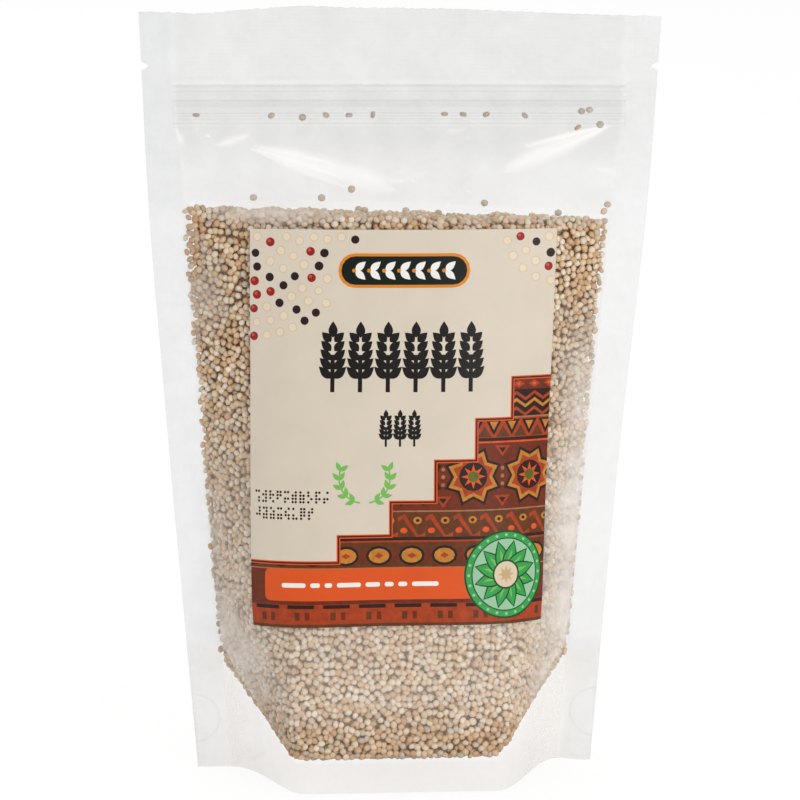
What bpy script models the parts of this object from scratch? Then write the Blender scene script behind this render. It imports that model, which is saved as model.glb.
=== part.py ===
# A clear stand-up pouch of quinoa with a press zip and a paper label on its front.
# Units are metres. +Z is up, the label faces -Y and the pouch stands on z = 0.

import math

import bmesh
import bpy
from mathutils import Vector

MM = 0.001

# The flat outline: half widths by height, wide at the cut top and drawn in below by the filling.
POUCH_HEIGHT = 208.0 * MM
HALF_WIDTHS = (
    (0.0, 54.0 * MM),
    (45.0 * MM, 57.7 * MM),
    (97.0 * MM, 62.1 * MM),
    (156.0 * MM, 67.3 * MM),
    (208.0 * MM, 70.0 * MM),
)
SEAL_WIDTH = 9.0 * MM
FILM_HALF = 0.4 * MM
SWAY = 1.5 * MM
SWAY_TOP = 175.0 * MM
SWAY_RUN = 95.0 * MM

# How far the front stands out in the middle, by height. The back follows it less closely.
FRONT_DEPTHS = (
    (0.0, 30.2 * MM),
    (9.0 * MM, 30.8 * MM),
    (45.0 * MM, 26.5 * MM),
    (97.0 * MM, 21.0 * MM),
    (134.0 * MM, 15.6 * MM),
    (156.0 * MM, 10.4 * MM),
    (177.0 * MM, 0.7 * MM),
    (190.0 * MM, 0.0),
)
BACK_SHARE = 0.78
BACK_SHARE_TOP = 45.0 * MM

# Roundness of the belly's section: lens-shaped near the zip, fuller and flatter-faced lower down
BELLY_POWERS = (
    (40.0 * MM, 4.2),
    (95.0 * MM, 2.7),
    (150.0 * MM, 2.0),
)

# The base opens into a boat shape: straight at the front, its flanks run back to the side seals.
BASE_STRAIGHT_LEFT = 0.56
BASE_STRAIGHT_RIGHT = 0.65
BASE_FLANK_POWER = 0.8
BASE_BLEND_TOP = 55.0 * MM

# The foot is turned a little, with its left seal forward, and its right flank is pinched back.
FOOT_TURN = 0.068
FOOT_TURN_TOP = 130.0 * MM
FOOT_TURN_RUN = 85.0 * MM
PINCH_DEPTH = 3.4 * MM
PINCH_X = 42.0 * MM
PINCH_SPREAD = 5.5 * MM
PINCH_TOP = 45.0 * MM

# The header waves a little, and its cut top is not quite square.
HEADER_WAVE = 1.4 * MM
HEADER_WAVE_LOW = 165.0 * MM
TOP_EDGE_RISE = 1.2 * MM
TOP_EDGE_SKEW = 0.6 * MM

# Tear notches in the side seals
NOTCH_DEPTH = 1.7 * MM
NOTCH_HALF = 0.7 * MM
NOTCH_Z = 193.3 * MM
NOTCH_BEVEL = 0.25 * MM

# The press zip, a ribbed strip that lies in a shallow groove across the pouch
ZIP_LOW = 177.4 * MM
ZIP_HIGH = 188.4 * MM
ZIP_BACK = 0.1 * MM
ZIP_FACE = 0.9 * MM
ZIP_RIB_FACE = 1.5 * MM
ZIP_RIB_HALF = 0.6 * MM
ZIP_RIB_HEIGHTS = (180.4 * MM, 184.0 * MM, 187.4 * MM)
ZIP_SEGMENTS = 20
GROOVE_GAP = 0.35 * MM
GROOVE_WALL = 0.2 * MM
GROOVE_BACK = 1.5 * MM
GROOVE_END = 0.5 * MM

# The underside: the gusset is drawn up inside its rim and sags to a flat spot in the middle.
UNDERSIDE_STEPS = (0.03, 0.10, 0.24, 0.40, 0.60, 0.76, 0.90, 0.97)
RIM_SHARE = 0.05
SPOT_SHARE = 0.3
GUSSET_RISE = 2.6 * MM
GUSSET_FLANK_INNER = 27.0 * MM
GUSSET_FLANK_OUTER = 40.0 * MM
SPOT_HALF_LENGTH = 14.5 * MM
SPOT_FADE = 14.0 * MM

# The paper label
LABEL_WIDTH = 83.4 * MM
LABEL_TOP = 150.6 * MM
LABEL_HEIGHT = 106.3 * MM
LABEL_CENTRE = 1.3 * MM
LABEL_EDGE_DROPS = (
    (45.0 * MM, 1.4 * MM),
    (150.0 * MM, 0.5 * MM),
)
LABEL_GAP = 0.35 * MM
LABEL_THICKNESS = 0.4 * MM
LABEL_COLUMNS = 20
LABEL_ROWS = 14

# Spacing of the mesh's rows and columns, and the short step used to measure a slope
HEADER_ROW = 200.0 * MM
BELLY_ROWS = 20
FOOT_ROW = 4.0 * MM
COLUMNS = 26
PROBE = 0.05 * MM


def smooth(t):
    t = min(1.0, max(0.0, t))
    return t * t * (3.0 - 2.0 * t)


def along(stations, z):
    # A smooth curve through the stations, with the slope at each one taken from its neighbours.
    z = min(stations[-1][0], max(stations[0][0], z))
    last = len(stations) - 1
    k = 0
    while k < last - 1 and z > stations[k + 1][0]:
        k += 1

    def slope(i):
        low = max(0, i - 1)
        high = min(last, i + 1)
        rise = stations[high][1] - stations[low][1]
        return rise / (stations[high][0] - stations[low][0])

    z0, v0 = stations[k]
    z1, v1 = stations[k + 1]
    step = z1 - z0
    t = (z - z0) / step
    start = (1.0 + 2.0 * t) * (1.0 - t) ** 2 * v0 + t * (1.0 - t) ** 2 * step * slope(k)
    end = t * t * (3.0 - 2.0 * t) * v1 - t * t * (1.0 - t) * step * slope(k + 1)
    return start + end


def half_width(z):
    return along(HALF_WIDTHS, z)


def centre_x(z):
    return -SWAY * smooth((SWAY_TOP - z) / SWAY_RUN)


def belly_half(z):
    # Half the width between the side seals
    return half_width(z) - SEAL_WIDTH


def mid_y(x, z):
    # The sheet on which the front and the back are sealed together
    foot = FOOT_TURN * (x - centre_x(0.0)) * smooth((FOOT_TURN_TOP - z) / FOOT_TURN_RUN)
    pinch = PINCH_DEPTH * math.exp(-((x - PINCH_X) / PINCH_SPREAD) ** 2)
    pinch *= smooth((PINCH_TOP - z) / PINCH_TOP)
    reach = smooth((z - HEADER_WAVE_LOW) / (POUCH_HEIGHT - HEADER_WAVE_LOW))
    wave = HEADER_WAVE * reach * math.cos(math.pi * x / half_width(POUCH_HEIGHT))
    return foot + pinch + wave


def belly_shape(t, z):
    # From 1 in the middle to 0 at the side seals, for t from -1 at the left one to 1 at the right
    straight = BASE_STRAIGHT_LEFT if t < 0.0 else BASE_STRAIGHT_RIGHT
    t = min(1.0, abs(t))
    lens = 1.0 - t ** along(BELLY_POWERS, z)
    run = max(0.0, (t - straight) / (1.0 - straight))
    boat = 0.5 + 0.5 * math.cos(math.pi * run ** BASE_FLANK_POWER)
    share = smooth(z / BASE_BLEND_TOP)
    return lens * share + boat * (1.0 - share)


def front_y(x, z):
    t = (x - centre_x(z)) / belly_half(z)
    return mid_y(x, z) - FILM_HALF - along(FRONT_DEPTHS, z) * belly_shape(t, z)


def back_y(x, z):
    t = (x - centre_x(z)) / belly_half(z)
    share = 1.0 - (1.0 - BACK_SHARE) * smooth(z / BACK_SHARE_TOP)
    return mid_y(x, z) + FILM_HALF + along(FRONT_DEPTHS, z) * share * belly_shape(t, z)


def pouch_rows():
    # Heights from the top down, with rows of their own at the notches, the zip and the base
    rows = [POUCH_HEIGHT, HEADER_ROW]
    for side in (1.0, -1.0):
        rows.append(NOTCH_Z + side * (NOTCH_HALF + NOTCH_BEVEL))
        rows.append(NOTCH_Z + side * NOTCH_HALF)
    groove_high = ZIP_HIGH + GROOVE_GAP
    groove_low = ZIP_LOW - GROOVE_GAP
    rows += [groove_high + GROOVE_WALL, groove_high, groove_low, groove_low - GROOVE_WALL]
    for i in range(1, BELLY_ROWS):
        rows.append((groove_low - GROOVE_WALL) * (1.0 - i / BELLY_ROWS))
    rows += [FOOT_ROW, 0.0]
    return sorted(rows, reverse=True)


def outer_half(z):
    # The cut edge, with the tear notches
    if abs(z - NOTCH_Z) <= NOTCH_HALF * 1.01:
        return half_width(z) - NOTCH_DEPTH
    return half_width(z)


def column_offsets(z):
    # Distances from the middle line: cut edges, seals' inner edges, then the belly between
    belly = belly_half(z)
    inner = belly - GROOVE_END
    right = [inner * 2.0 * i / COLUMNS for i in range(1, COLUMNS // 2 + 1)]
    right += [belly, outer_half(z)]
    return [-x for x in reversed(right)] + [0.0] + right


def in_groove(offset, z):
    low = ZIP_LOW - GROOVE_GAP * 1.01
    high = ZIP_HIGH + GROOVE_GAP * 1.01
    return low <= z <= high and abs(offset) < belly_half(z) - GROOVE_END * 0.5


def top_edge(x):
    # The cut top rises in the middle and falls towards the right.
    across = x / half_width(POUCH_HEIGHT)
    rise = TOP_EDGE_RISE * (0.5 + 0.5 * math.cos(math.pi * across))
    return rise - TOP_EDGE_SKEW * (across + 1.0)


def gusset_z(x, share):
    # Height of the underside at a share of the way from the front rim to the back rim
    edge = min(share, 1.0 - share)
    if edge < RIM_SHARE:
        return 0.0
    flank = (GUSSET_FLANK_OUTER - abs(x)) / (GUSSET_FLANK_OUTER - GUSSET_FLANK_INNER)
    rise = GUSSET_RISE * smooth(flank)
    if edge > SPOT_SHARE:
        rise *= smooth((abs(x) - SPOT_HALF_LENGTH) / SPOT_FADE)
    return rise


def pouch_column(index, rows):
    # One closed ring of points: down the front, under the base and up the back
    ring = []
    for z in rows:
        offset = column_offsets(z)[index]
        x = centre_x(z) + offset
        y = front_y(x, z)
        if in_groove(offset, z):
            y = mid_y(x, z) - ZIP_BACK + GROOVE_GAP
        ring.append((x, y, z + (top_edge(x) if z == POUCH_HEIGHT else 0.0)))
    x = centre_x(0.0) + column_offsets(0.0)[index]
    front = front_y(x, 0.0)
    back = back_y(x, 0.0)
    for share in UNDERSIDE_STEPS:
        ring.append((x, front + (back - front) * share, gusset_z(x, share)))
    for z in reversed(rows):
        offset = column_offsets(z)[index]
        x = centre_x(z) + offset
        y = back_y(x, z)
        if in_groove(offset, z):
            y = mid_y(x, z) + GROOVE_BACK
        ring.append((x, y, z + (top_edge(x) if z == POUCH_HEIGHT else 0.0)))
    return ring


def new_object(name, bm, material):
    bmesh.ops.recalc_face_normals(bm, faces=bm.faces)
    mesh = bpy.data.meshes.new(name)
    bm.to_mesh(mesh)
    bm.free()
    mesh.shade_smooth()
    mesh.set_sharp_from_angle(angle=math.radians(35.0))
    mesh.materials.append(material)
    obj = bpy.data.objects.new(name, mesh)
    bpy.context.scene.collection.objects.link(obj)
    return obj


def make_pouch(material):
    rows = pouch_rows()
    count = len(column_offsets(0.0))
    bm = bmesh.new()
    rings = []
    for index in range(count):
        rings.append([bm.verts.new(point) for point in pouch_column(index, rows)])
    size = len(rings[0])
    for left, right in zip(rings, rings[1:]):
        for k in range(size):
            after = (k + 1) % size
            bm.faces.new((left[k], left[after], right[after], right[k]))
    # Each cut edge closes with a ladder of faces from the front to the back.
    last = len(rows) - 1
    for ring in (rings[0], rings[-1]):
        for k in range(last - 1):
            bm.faces.new((ring[k], ring[k + 1], ring[size - 2 - k], ring[size - 1 - k]))
        bm.faces.new(ring[last - 1:size - last + 1])
    return new_object("pouch", bm, material)


def zip_section():
    # Heights and faces of the strip from its top edge down: a flat strip with ribs
    section = [(ZIP_HIGH, ZIP_FACE)]
    for z in sorted(ZIP_RIB_HEIGHTS, reverse=True):
        slope = (ZIP_RIB_FACE - ZIP_FACE) * 0.5
        section.append((z + ZIP_RIB_HALF + slope, ZIP_FACE))
        section.append((z + ZIP_RIB_HALF, ZIP_RIB_FACE))
        section.append((z - ZIP_RIB_HALF, ZIP_RIB_FACE))
        section.append((z - ZIP_RIB_HALF - slope, ZIP_FACE))
    section.append((ZIP_LOW, ZIP_FACE))
    section.append((ZIP_LOW, ZIP_BACK))
    section.append((ZIP_HIGH, ZIP_BACK))
    return section


def make_zip(material):
    section = zip_section()
    bm = bmesh.new()
    rings = []
    for i in range(ZIP_SEGMENTS + 1):
        along_x = 2.0 * i / ZIP_SEGMENTS - 1.0
        ring = []
        for z, face in section:
            reach = belly_half(ZIP_LOW) - GROOVE_END - GROOVE_GAP
            x = centre_x(z) + along_x * reach
            ring.append(bm.verts.new((x, mid_y(x, z) - face, z)))
        rings.append(ring)
    size = len(section)
    for left, right in zip(rings, rings[1:]):
        for k in range(size):
            after = (k + 1) % size
            bm.faces.new((left[k], left[after], right[after], right[k]))
    bm.faces.new(rings[0])
    bm.faces.new(rings[-1])
    return new_object("zip", bm, material)


def arc_to_x(arc, z):
    # Walks along the front at one height until the length covered is the arc asked for.
    x = centre_x(z) + LABEL_CENTRE
    step = math.copysign(0.5 * MM, arc)
    left = abs(arc)
    while left > 1e-9:
        y = front_y(x, z)
        length = math.hypot(step, front_y(x + step, z) - y)
        share = min(1.0, left / length)
        x += step * share
        left -= length * share
    return x


def label_heights():
    # Walks down the middle of the front from the label's top edge.
    heights = [LABEL_TOP]
    z = LABEL_TOP
    pieces = 10
    for _ in range(LABEL_ROWS):
        for _ in range(pieces):
            rise = (front_y(0.0, z) - front_y(0.0, z - PROBE)) / PROBE
            z -= LABEL_HEIGHT / LABEL_ROWS / pieces / math.hypot(1.0, rise)
        heights.append(z)
    return heights


def label_point(across, middle_z, offset):
    # A point of the label, held off the front along the front's own normal
    z = middle_z - along(LABEL_EDGE_DROPS, middle_z) * (2.0 * across) ** 2
    x = arc_to_x(across * LABEL_WIDTH, z)
    y = front_y(x, z)
    slope_x = (front_y(x + PROBE, z) - front_y(x - PROBE, z)) / (2.0 * PROBE)
    slope_z = (front_y(x, z + PROBE) - front_y(x, z - PROBE)) / (2.0 * PROBE)
    normal = Vector((slope_x, -1.0, slope_z)).normalized()
    return Vector((x, y, z)) + normal * offset


def make_label(material):
    bm = bmesh.new()
    sheets = []
    for offset in (LABEL_GAP, LABEL_GAP + LABEL_THICKNESS):
        sheet = []
        for z in label_heights():
            row = []
            for i in range(LABEL_COLUMNS + 1):
                across = i / LABEL_COLUMNS - 0.5
                row.append(bm.verts.new(label_point(across, z, offset)))
            sheet.append(row)
        sheets.append(sheet)
        for upper, lower in zip(sheet, sheet[1:]):
            for i in range(LABEL_COLUMNS):
                bm.faces.new((upper[i], upper[i + 1], lower[i + 1], lower[i]))
    borders = []
    for sheet in sheets:
        border = list(sheet[0])
        border += [row[-1] for row in sheet[1:]]
        border += list(reversed(sheet[-1][:-1]))
        border += [row[0] for row in reversed(sheet[1:-1])]
        borders.append(border)
    size = len(borders[0])
    for k in range(size):
        after = (k + 1) % size
        bm.faces.new((borders[0][k], borders[0][after], borders[1][after], borders[1][k]))
    return new_object("label", bm, material)


def make_material(name, colour, roughness):
    material = bpy.data.materials.new(name)
    material.use_nodes = True
    shader = material.node_tree.nodes["Principled BSDF"]
    shader.inputs["Base Color"].default_value = (*colour, 1.0)
    shader.inputs["Roughness"].default_value = roughness
    shader.inputs["Metallic"].default_value = 0.0
    material.diffuse_color = (*colour, 1.0)
    return material


for old in list(bpy.data.objects):
    bpy.data.objects.remove(old)

make_pouch(make_material("filled_film", (0.55, 0.46, 0.36), 0.35))
make_zip(make_material("zip_plastic", (0.78, 0.78, 0.76), 0.4))
make_label(make_material("label_paper", (0.74, 0.66, 0.55), 0.5))
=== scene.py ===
import math
import random

import bpy
import numpy as np
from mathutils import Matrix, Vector
from mathutils.geometry import delaunay_2d_cdt


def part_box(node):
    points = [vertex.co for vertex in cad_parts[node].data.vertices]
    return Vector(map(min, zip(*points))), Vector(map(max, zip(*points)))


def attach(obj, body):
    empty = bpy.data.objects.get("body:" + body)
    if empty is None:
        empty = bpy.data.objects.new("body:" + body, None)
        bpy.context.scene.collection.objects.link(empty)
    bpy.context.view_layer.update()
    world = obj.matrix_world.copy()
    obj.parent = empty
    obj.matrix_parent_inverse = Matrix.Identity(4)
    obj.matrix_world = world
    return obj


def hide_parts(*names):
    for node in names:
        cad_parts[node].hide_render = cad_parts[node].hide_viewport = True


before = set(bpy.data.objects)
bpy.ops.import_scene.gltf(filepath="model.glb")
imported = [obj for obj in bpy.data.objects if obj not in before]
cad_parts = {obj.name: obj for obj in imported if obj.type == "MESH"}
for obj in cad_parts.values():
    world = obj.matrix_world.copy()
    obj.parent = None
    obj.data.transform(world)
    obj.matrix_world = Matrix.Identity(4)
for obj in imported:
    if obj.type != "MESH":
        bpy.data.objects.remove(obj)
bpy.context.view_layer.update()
zipLow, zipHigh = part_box("zip")
mm = 0.001

# The pouch's form, on the curves that the CAD solid follows to within half a millimetre
pouch = {
    "height": 208.0,
    "halfWidths": ((0, 54.0), (45, 57.7), (97, 62.1), (156, 67.3), (208, 70.0)),
    "sealWidth": 9.0,
    "filmHalf": 0.4,
    "sway": (1.5, 215.0, 140.0),
    "frontDepths": ((0, 30.2), (9, 30.8), (45, 26.5), (97, 21.0), (134, 15.6), (156, 10.4),
                    (177, 0.7), (190, 0.0)),
    "backShare": (0.78, 45.0),
    "bellyPowers": ((40, 4.2), (95, 2.7), (150, 2.0)),
    "baseStraight": (0.56, 0.65),
    "baseFlankPower": 0.8,
    "baseBlendTop": 55.0,
    "footTurn": (0.068, 130.0, 85.0),
    "pinch": (3.4, 42.0, 5.5, 45.0),
    "headerWave": (1.4, 165.0),
    "topEdge": (1.2, 0.6),
    # Low waves of the cut edge: place, spread and height of each
    "topWaves": ((-28.0, 11.0, 0.75), (-54.0, 7.0, -0.6)),
    "zipSeal": 1.3,
    "notch": (193.3, 0.95, 1.7),
    "arcFlat": 27.0,
    "arcReach": 21.5,
    "arcLow": 8.8,
    "arcRise": 27.0,
    "fillTop": (154.4, 1.6),
}


def smooth(t):
    t = np.clip(t, 0.0, 1.0)
    return t * t * (3.0 - 2.0 * t)


def ramp(value, start, run):
    # Climbs smoothly from 0 at the start to 1 after the run, or downwards over a negative run
    return smooth((value - start) / run)


def along(stations, z):
    # A smooth curve through the stations, each slope taken from its neighbours
    heights = np.array([s[0] for s in stations], float)
    values = np.array([s[1] for s in stations], float)
    last = len(values) - 1
    low = np.maximum(np.arange(last + 1) - 1, 0)
    high = np.minimum(np.arange(last + 1) + 1, last)
    slopes = (values[high] - values[low]) / (heights[high] - heights[low])
    z = np.clip(z, heights[0], heights[-1])
    k = np.searchsorted(heights[1:-1], z, side="left")
    step = heights[k + 1] - heights[k]
    t = (z - heights[k]) / step
    start = (1 + 2 * t) * (1 - t) ** 2 * values[k] + t * (1 - t) ** 2 * step * slopes[k]
    end = t * t * (3 - 2 * t) * values[k + 1] - t * t * (1 - t) * step * slopes[k + 1]
    return start + end


def halfWidth(z):
    return along(pouch["halfWidths"], z)


def centreX(z):
    sway, top, run = pouch["sway"]
    return -sway * ramp(z, top, -run)


def bellyHalf(z):
    # Half the width inside the side seals, which are a little narrower by the zip
    byZip = ramp(z, 170.0, 8.0) * ramp(z, 192.0, -3.0)
    return halfWidth(z) - pouch["sealWidth"] + pouch["zipSeal"] * byZip


def midY(x, z):
    # The sheet on which front and back are sealed together
    turn, turnTop, turnRun = pouch["footTurn"]
    depth, pinchX, spread, pinchTop = pouch["pinch"]
    wave, waveLow = pouch["headerWave"]
    height = pouch["height"]
    foot = turn * (x - centreX(0.0)) * ramp(z, turnTop, -turnRun)
    pinch = depth * np.exp(-(((x - pinchX) / spread) ** 2)) * ramp(z, pinchTop, -pinchTop)
    reach = ramp(z, waveLow, height - waveLow)
    return foot + pinch + wave * reach * np.cos(np.pi * x / halfWidth(height))


def bellyShape(t, z):
    left, right = pouch["baseStraight"]
    straight = np.where(t < 0.0, left, right)
    t = np.minimum(1.0, np.abs(t))
    lens = 1.0 - t ** along(pouch["bellyPowers"], z)
    run = np.maximum(0.0, (t - straight) / (1.0 - straight))
    boat = 0.5 + 0.5 * np.cos(np.pi * run ** pouch["baseFlankPower"])
    share = smooth(z / pouch["baseBlendTop"])
    return lens * share + boat * (1.0 - share)


def frontY(x, z):
    t = (x - centreX(z)) / bellyHalf(z)
    return midY(x, z) - pouch["filmHalf"] - along(pouch["frontDepths"], z) * bellyShape(t, z)


def backY(x, z):
    share, top = pouch["backShare"]
    t = (x - centreX(z)) / bellyHalf(z)
    depth = along(pouch["frontDepths"], z) * (1.0 - (1.0 - share) * smooth(z / top))
    return midY(x, z) + pouch["filmHalf"] + depth * bellyShape(t, z)


def slopes(surface, x, z, probe):
    across = (surface(x + probe, z) - surface(x - probe, z)) / (2 * probe)
    up = (surface(x, z + probe) - surface(x, z - probe)) / (2 * probe)
    return across, up


def sharesBetween(count):
    # Even steps from one edge to the other, without the edges themselves
    return (np.arange(count) + 1.0)[None, :] / (count + 1.0)


def topEdge(x):
    rise, skew = pouch["topEdge"]
    across = x / halfWidth(pouch["height"])
    waves = sum(high * np.exp(-(((x - place) / spread) ** 2)) for place, spread, high in pouch["topWaves"])
    return rise * (0.5 + 0.5 * np.cos(np.pi * across)) - skew * (across + 1.0) + waves


def outerHalf(z):
    # The cut edge, with the small tear notches
    middle, half, depth = pouch["notch"]
    return halfWidth(z) - depth * smooth(1.25 - np.abs(z - middle) / half)


def arcHeight(x, z):
    # Height of the seam where the base gusset meets the front and the back
    away = np.maximum(0.0, np.abs(x - centreX(z)) - pouch["arcFlat"]) / pouch["arcReach"]
    return pouch["arcLow"] + pouch["arcRise"] * np.minimum(1.0, away) ** 1.15


def fillHeight(x):
    level, tilt = pouch["fillTop"]
    heap = 0.22 * np.sin(x * 0.21 + 1.0) + 0.25 * np.sin(x * 0.61 + 4.0)
    return level - tilt * x / 57.0 + heap


def ripple(x, z, scale, seed):
    # Smooth unevenness between about -1 and 1, from a few crossing waves
    rng = random.Random(seed)
    total = np.zeros(np.broadcast(x, z).shape)
    for _ in range(7):
        angle = rng.uniform(0.0, math.tau)
        pitch = scale * rng.uniform(0.55, 1.6)
        turned = (x * math.cos(angle) + z * math.sin(angle)) * math.tau / pitch
        total = total + np.sin(turned + rng.uniform(0.0, math.tau))
    return total / 3.2


def linear(*srgb):
    # A display colour from 0 to 255 as the linear values that shaders take
    values = np.array(srgb, float) / 255.0
    return np.where(values <= 0.04045, values / 12.92, ((values + 0.055) / 1.055) ** 2.4)


def rgba(*srgb):
    return (*linear(*srgb), 1.0)


def newMesh(name, points, faces, material):
    mesh = bpy.data.meshes.new(name)
    mesh.from_pydata((np.asarray(points) * mm).tolist(), [], faces)
    mesh.shade_smooth()
    if material:
        mesh.materials.append(material)
    return mesh


def newObject(name, data):
    piece = bpy.data.objects.new(name, data)
    bpy.context.scene.collection.objects.link(piece)
    return piece


def pointValues(mesh, name, values):
    values = np.asarray(values, np.float32)
    if values.ndim == 2:
        layer = mesh.attributes.new(name, "FLOAT_COLOR", "POINT")
        layer.data.foreach_set("color", values.ravel())
    else:
        layer = mesh.attributes.new(name, "FLOAT", "POINT")
        layer.data.foreach_set("value", values)


def closedTube(name, rings, foldStart, material, values):
    # Rings of points from left to right. The end rings are pressed flat, and their halves share points.
    columns, size, _ = rings.shape
    index = np.zeros((columns, size), int)
    kept = []
    for c in range(columns):
        for k in range(size):
            partner = (foldStart - k) % size
            if c in (0, columns - 1) and partner < k:
                index[c, k] = index[c, partner]
            else:
                index[c, k] = len(kept)
                kept.append(c * size + k)
    faces = []
    for c in range(columns - 1):
        left = index[c].tolist()
        right = index[c + 1].tolist()
        for k in range(size):
            after = (k + 1) % size
            corners = dict.fromkeys((left[k], left[after], right[after], right[k]))
            if len(corners) > 2:
                faces.append(tuple(corners))
    mesh = newMesh(name, rings.reshape(-1, 3)[kept], faces, material)
    for label, value in values.items():
        pointValues(mesh, label, value.reshape(columns * size, -1).squeeze()[kept])
    return newObject(name, mesh)


def addNode(tree, kind, inputs=None, **fields):
    node = tree.nodes.new(kind)
    for field, value in fields.items():
        setattr(node, field, value)
    for socket, value in (inputs or {}).items():
        if isinstance(value, bpy.types.NodeSocket):
            tree.links.new(value, node.inputs[socket])
        else:
            node.inputs[socket].default_value = value
    return node


def maths(tree, operation, first, second=0.0, third=0.0):
    node = addNode(tree, "ShaderNodeMath", {0: first, 1: second, 2: third}, operation=operation)
    return node.outputs[0]


def newMaterial(name):
    material = bpy.data.materials.new(name)
    material.use_nodes = True
    material.node_tree.nodes.clear()
    return material, material.node_tree


def objectPlace(tree):
    return addNode(tree, "ShaderNodeTexCoord").outputs["Object"]


def attribute(tree, name, output="Fac"):
    return addNode(tree, "ShaderNodeAttribute", attribute_name=name).outputs[output]


def remap(tree, value, low, high, first=0.0, last=1.0):
    inputs = {0: value, 1: low, 2: high, 3: first, 4: last}
    return addNode(tree, "ShaderNodeMapRange", inputs).outputs[0]


def noise(tree, place, scale, detail, roughness=0.5):
    inputs = {"Vector": place, "Scale": scale, "Detail": detail, "Roughness": roughness}
    return addNode(tree, "ShaderNodeTexNoise", inputs).outputs["Fac"]


def mixed(tree, share, first, second):
    return addNode(tree, "ShaderNodeMix", {0: share, 6: first, 7: second}, data_type="RGBA").outputs[2]


def bumped(tree, height, strength, distance, invert=False):
    inputs = {"Strength": strength, "Distance": distance, "Height": height}
    return addNode(tree, "ShaderNodeBump", inputs, invert=invert).outputs[0]


def combined(tree, x, y, z=0.0):
    return addNode(tree, "ShaderNodeCombineXYZ", {0: x, 1: y, 2: z}).outputs[0]


def showSurface(tree, shader):
    addNode(tree, "ShaderNodeOutputMaterial", {"Surface": shader.outputs[0]})


# The film: rows and columns, swells in millimetres, and how milky it is in each place
film = {
    "bellyColumns": 148,
    "sealColumns": 8,
    "innerRows": 24,
    "gussetRows": 26,
    "skirtGap": 0.25,
    "gussetSag": 3.3,
    "teeth": 0.16,
    "zipBulge": 1.1,
    "zipBackBulge": 0.8,
    "edgeSwell": 0.4,
    "foldRise": 0.2,
    "headWave": 0.35,
    "pucker": 0.22,
    "wave": 0.12,
    "contact": 0.02,
    "veil": 0.22,
    "headspace": 0.175,
    "belowZip": 0.255,
    "lowBare": 0.05,
    "zipCover": 0.17,
    "header": 0.205,
    "headerEnds": 0.04,
    "leftSeal": 0.2,
    "leftSealHigh": 0.05,
    "rightSeal": 0.162,
    "rightSealLow": 0.045,
    "rightSealHigh": 0.1,
    "cornerSeal": 0.018,
    "sealFoot": 0.06,
    "skirt": 0.21,
    "skirtEnds": 0.13,
    "backSkirt": 0.015,
    "nearFill": 0.14,
    "milky": 0.69,
    "foldClear": 0.62,
    "uneven": 0.012,
}
# Leaf-shaped folds below the zip, raised, clearer and with a painted highlight on the film: from, to, width,
# where it is widest, and strength
folds = (
    (-40.5, 171.4, -0.5, 160.6, 7.6, 1.6, 0.66),
    (-40.0, 171.0, -14.0, 161.4, 2.8, 1.0, 1.0),
    (-39.0, 171.8, -17.0, 167.4, 2.2, 1.0, 0.8),
    (-49.5, 171.6, -40.2, 174.6, 3.0, 1.0, 0.5),
    (-60.6, 177.0, -58.2, 171.0, 1.9, 1.0, 0.7),
    (28.0, 165.2, 56.6, 177.2, 7.0, 0.85, 0.6),
    (33.0, 171.4, 56.4, 177.2, 2.2, 1.0, 0.85),
    (37.0, 168.0, 56.2, 176.8, 2.2, 1.0, 0.95),
    (52.5, 165.6, 60.0, 163.8, 1.8, 1.0, 0.3),
    (-3.0, 162.5, 8.0, 165.5, 2.6, 1.0, 0.25),
    (12.0, 175.0, 18.5, 176.4, 1.8, 1.0, 0.25),
)
# Cloudy places on the front, where the film stands off the grain and turns milky, and where its lighter tint
# is painted light and reflection of the soft lamps:
# x, z, reach along, reach across, turn and strength
clouds = (
    (50.5, 98.0, 20.0, 7.5, 88.0, 0.55),
    (50.5, 70.0, 26.0, 9.5, 87.0, 1.05),
    (49.5, 46.0, 18.0, 10.5, 80.0, 1.05),
    (44.5, 30.0, 12.0, 6.0, 66.0, 0.9),
    (37.0, 17.0, 9.0, 2.6, 58.0, 0.35),
    (-46.5, 38.0, 19.0, 8.0, -62.0, 0.66),
    (-51.0, 60.0, 26.0, 5.0, 92.0, 0.18),
    (-34.0, 154.5, 15.0, 3.4, 3.0, 0.58),
    (-53.0, 130.0, 10.0, 6.0, 82.0, 0.4),
    (-52.0, 143.0, 9.0, 1.7, -54.0, 0.3),
)


def leafShare(x, z, fold):
    x0, z0, x1, z1, width, lean, _ = fold
    length = math.hypot(x1 - x0, z1 - z0)
    ux, uz = (x1 - x0) / length, (z1 - z0) / length
    s = np.clip(((x - x0) * ux + (z - z0) * uz) / length, 0.0, 1.0)
    away = np.abs((z - z0) * ux - (x - x0) * uz)
    half = 0.5 * width * np.sin(np.pi * s ** lean) ** 0.7
    return smooth(1.1 * (1.0 - away / np.maximum(half, 0.01)))


def foldShare(x, z):
    share = np.zeros(np.broadcast(x, z).shape)
    for fold in folds:
        share = np.maximum(share, leafShare(x, z, fold) * fold[6])
    return share


def cloudShare(x, z):
    share = np.zeros(np.broadcast(x, z).shape)
    for cx, cz, reach, across, turn, strength in clouds:
        c, s = math.cos(math.radians(turn)), math.sin(math.radians(turn))
        u = ((x - cx) * c + (z - cz) * s) / reach
        v = ((z - cz) * c - (x - cx) * s) / across
        share = np.maximum(share, strength * np.exp(-((u * u + v * v) ** 1.15)))
    return np.clip(share * (1.0 + 0.14 * ripple(x, z, 8.0, 21)), 0.0, 1.0)


def grainCover(x, z):
    # 1 where grain lies right behind the film, 0 where there is none
    gap = backY(x, z) - frontY(x, z)
    cover = ramp(gap, 1.7, 1.4) * smooth((fillHeight(x) - z) / 1.6 + 0.4)
    return cover * smooth((z - arcHeight(x, z)) / 1.2 + 0.3)


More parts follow.
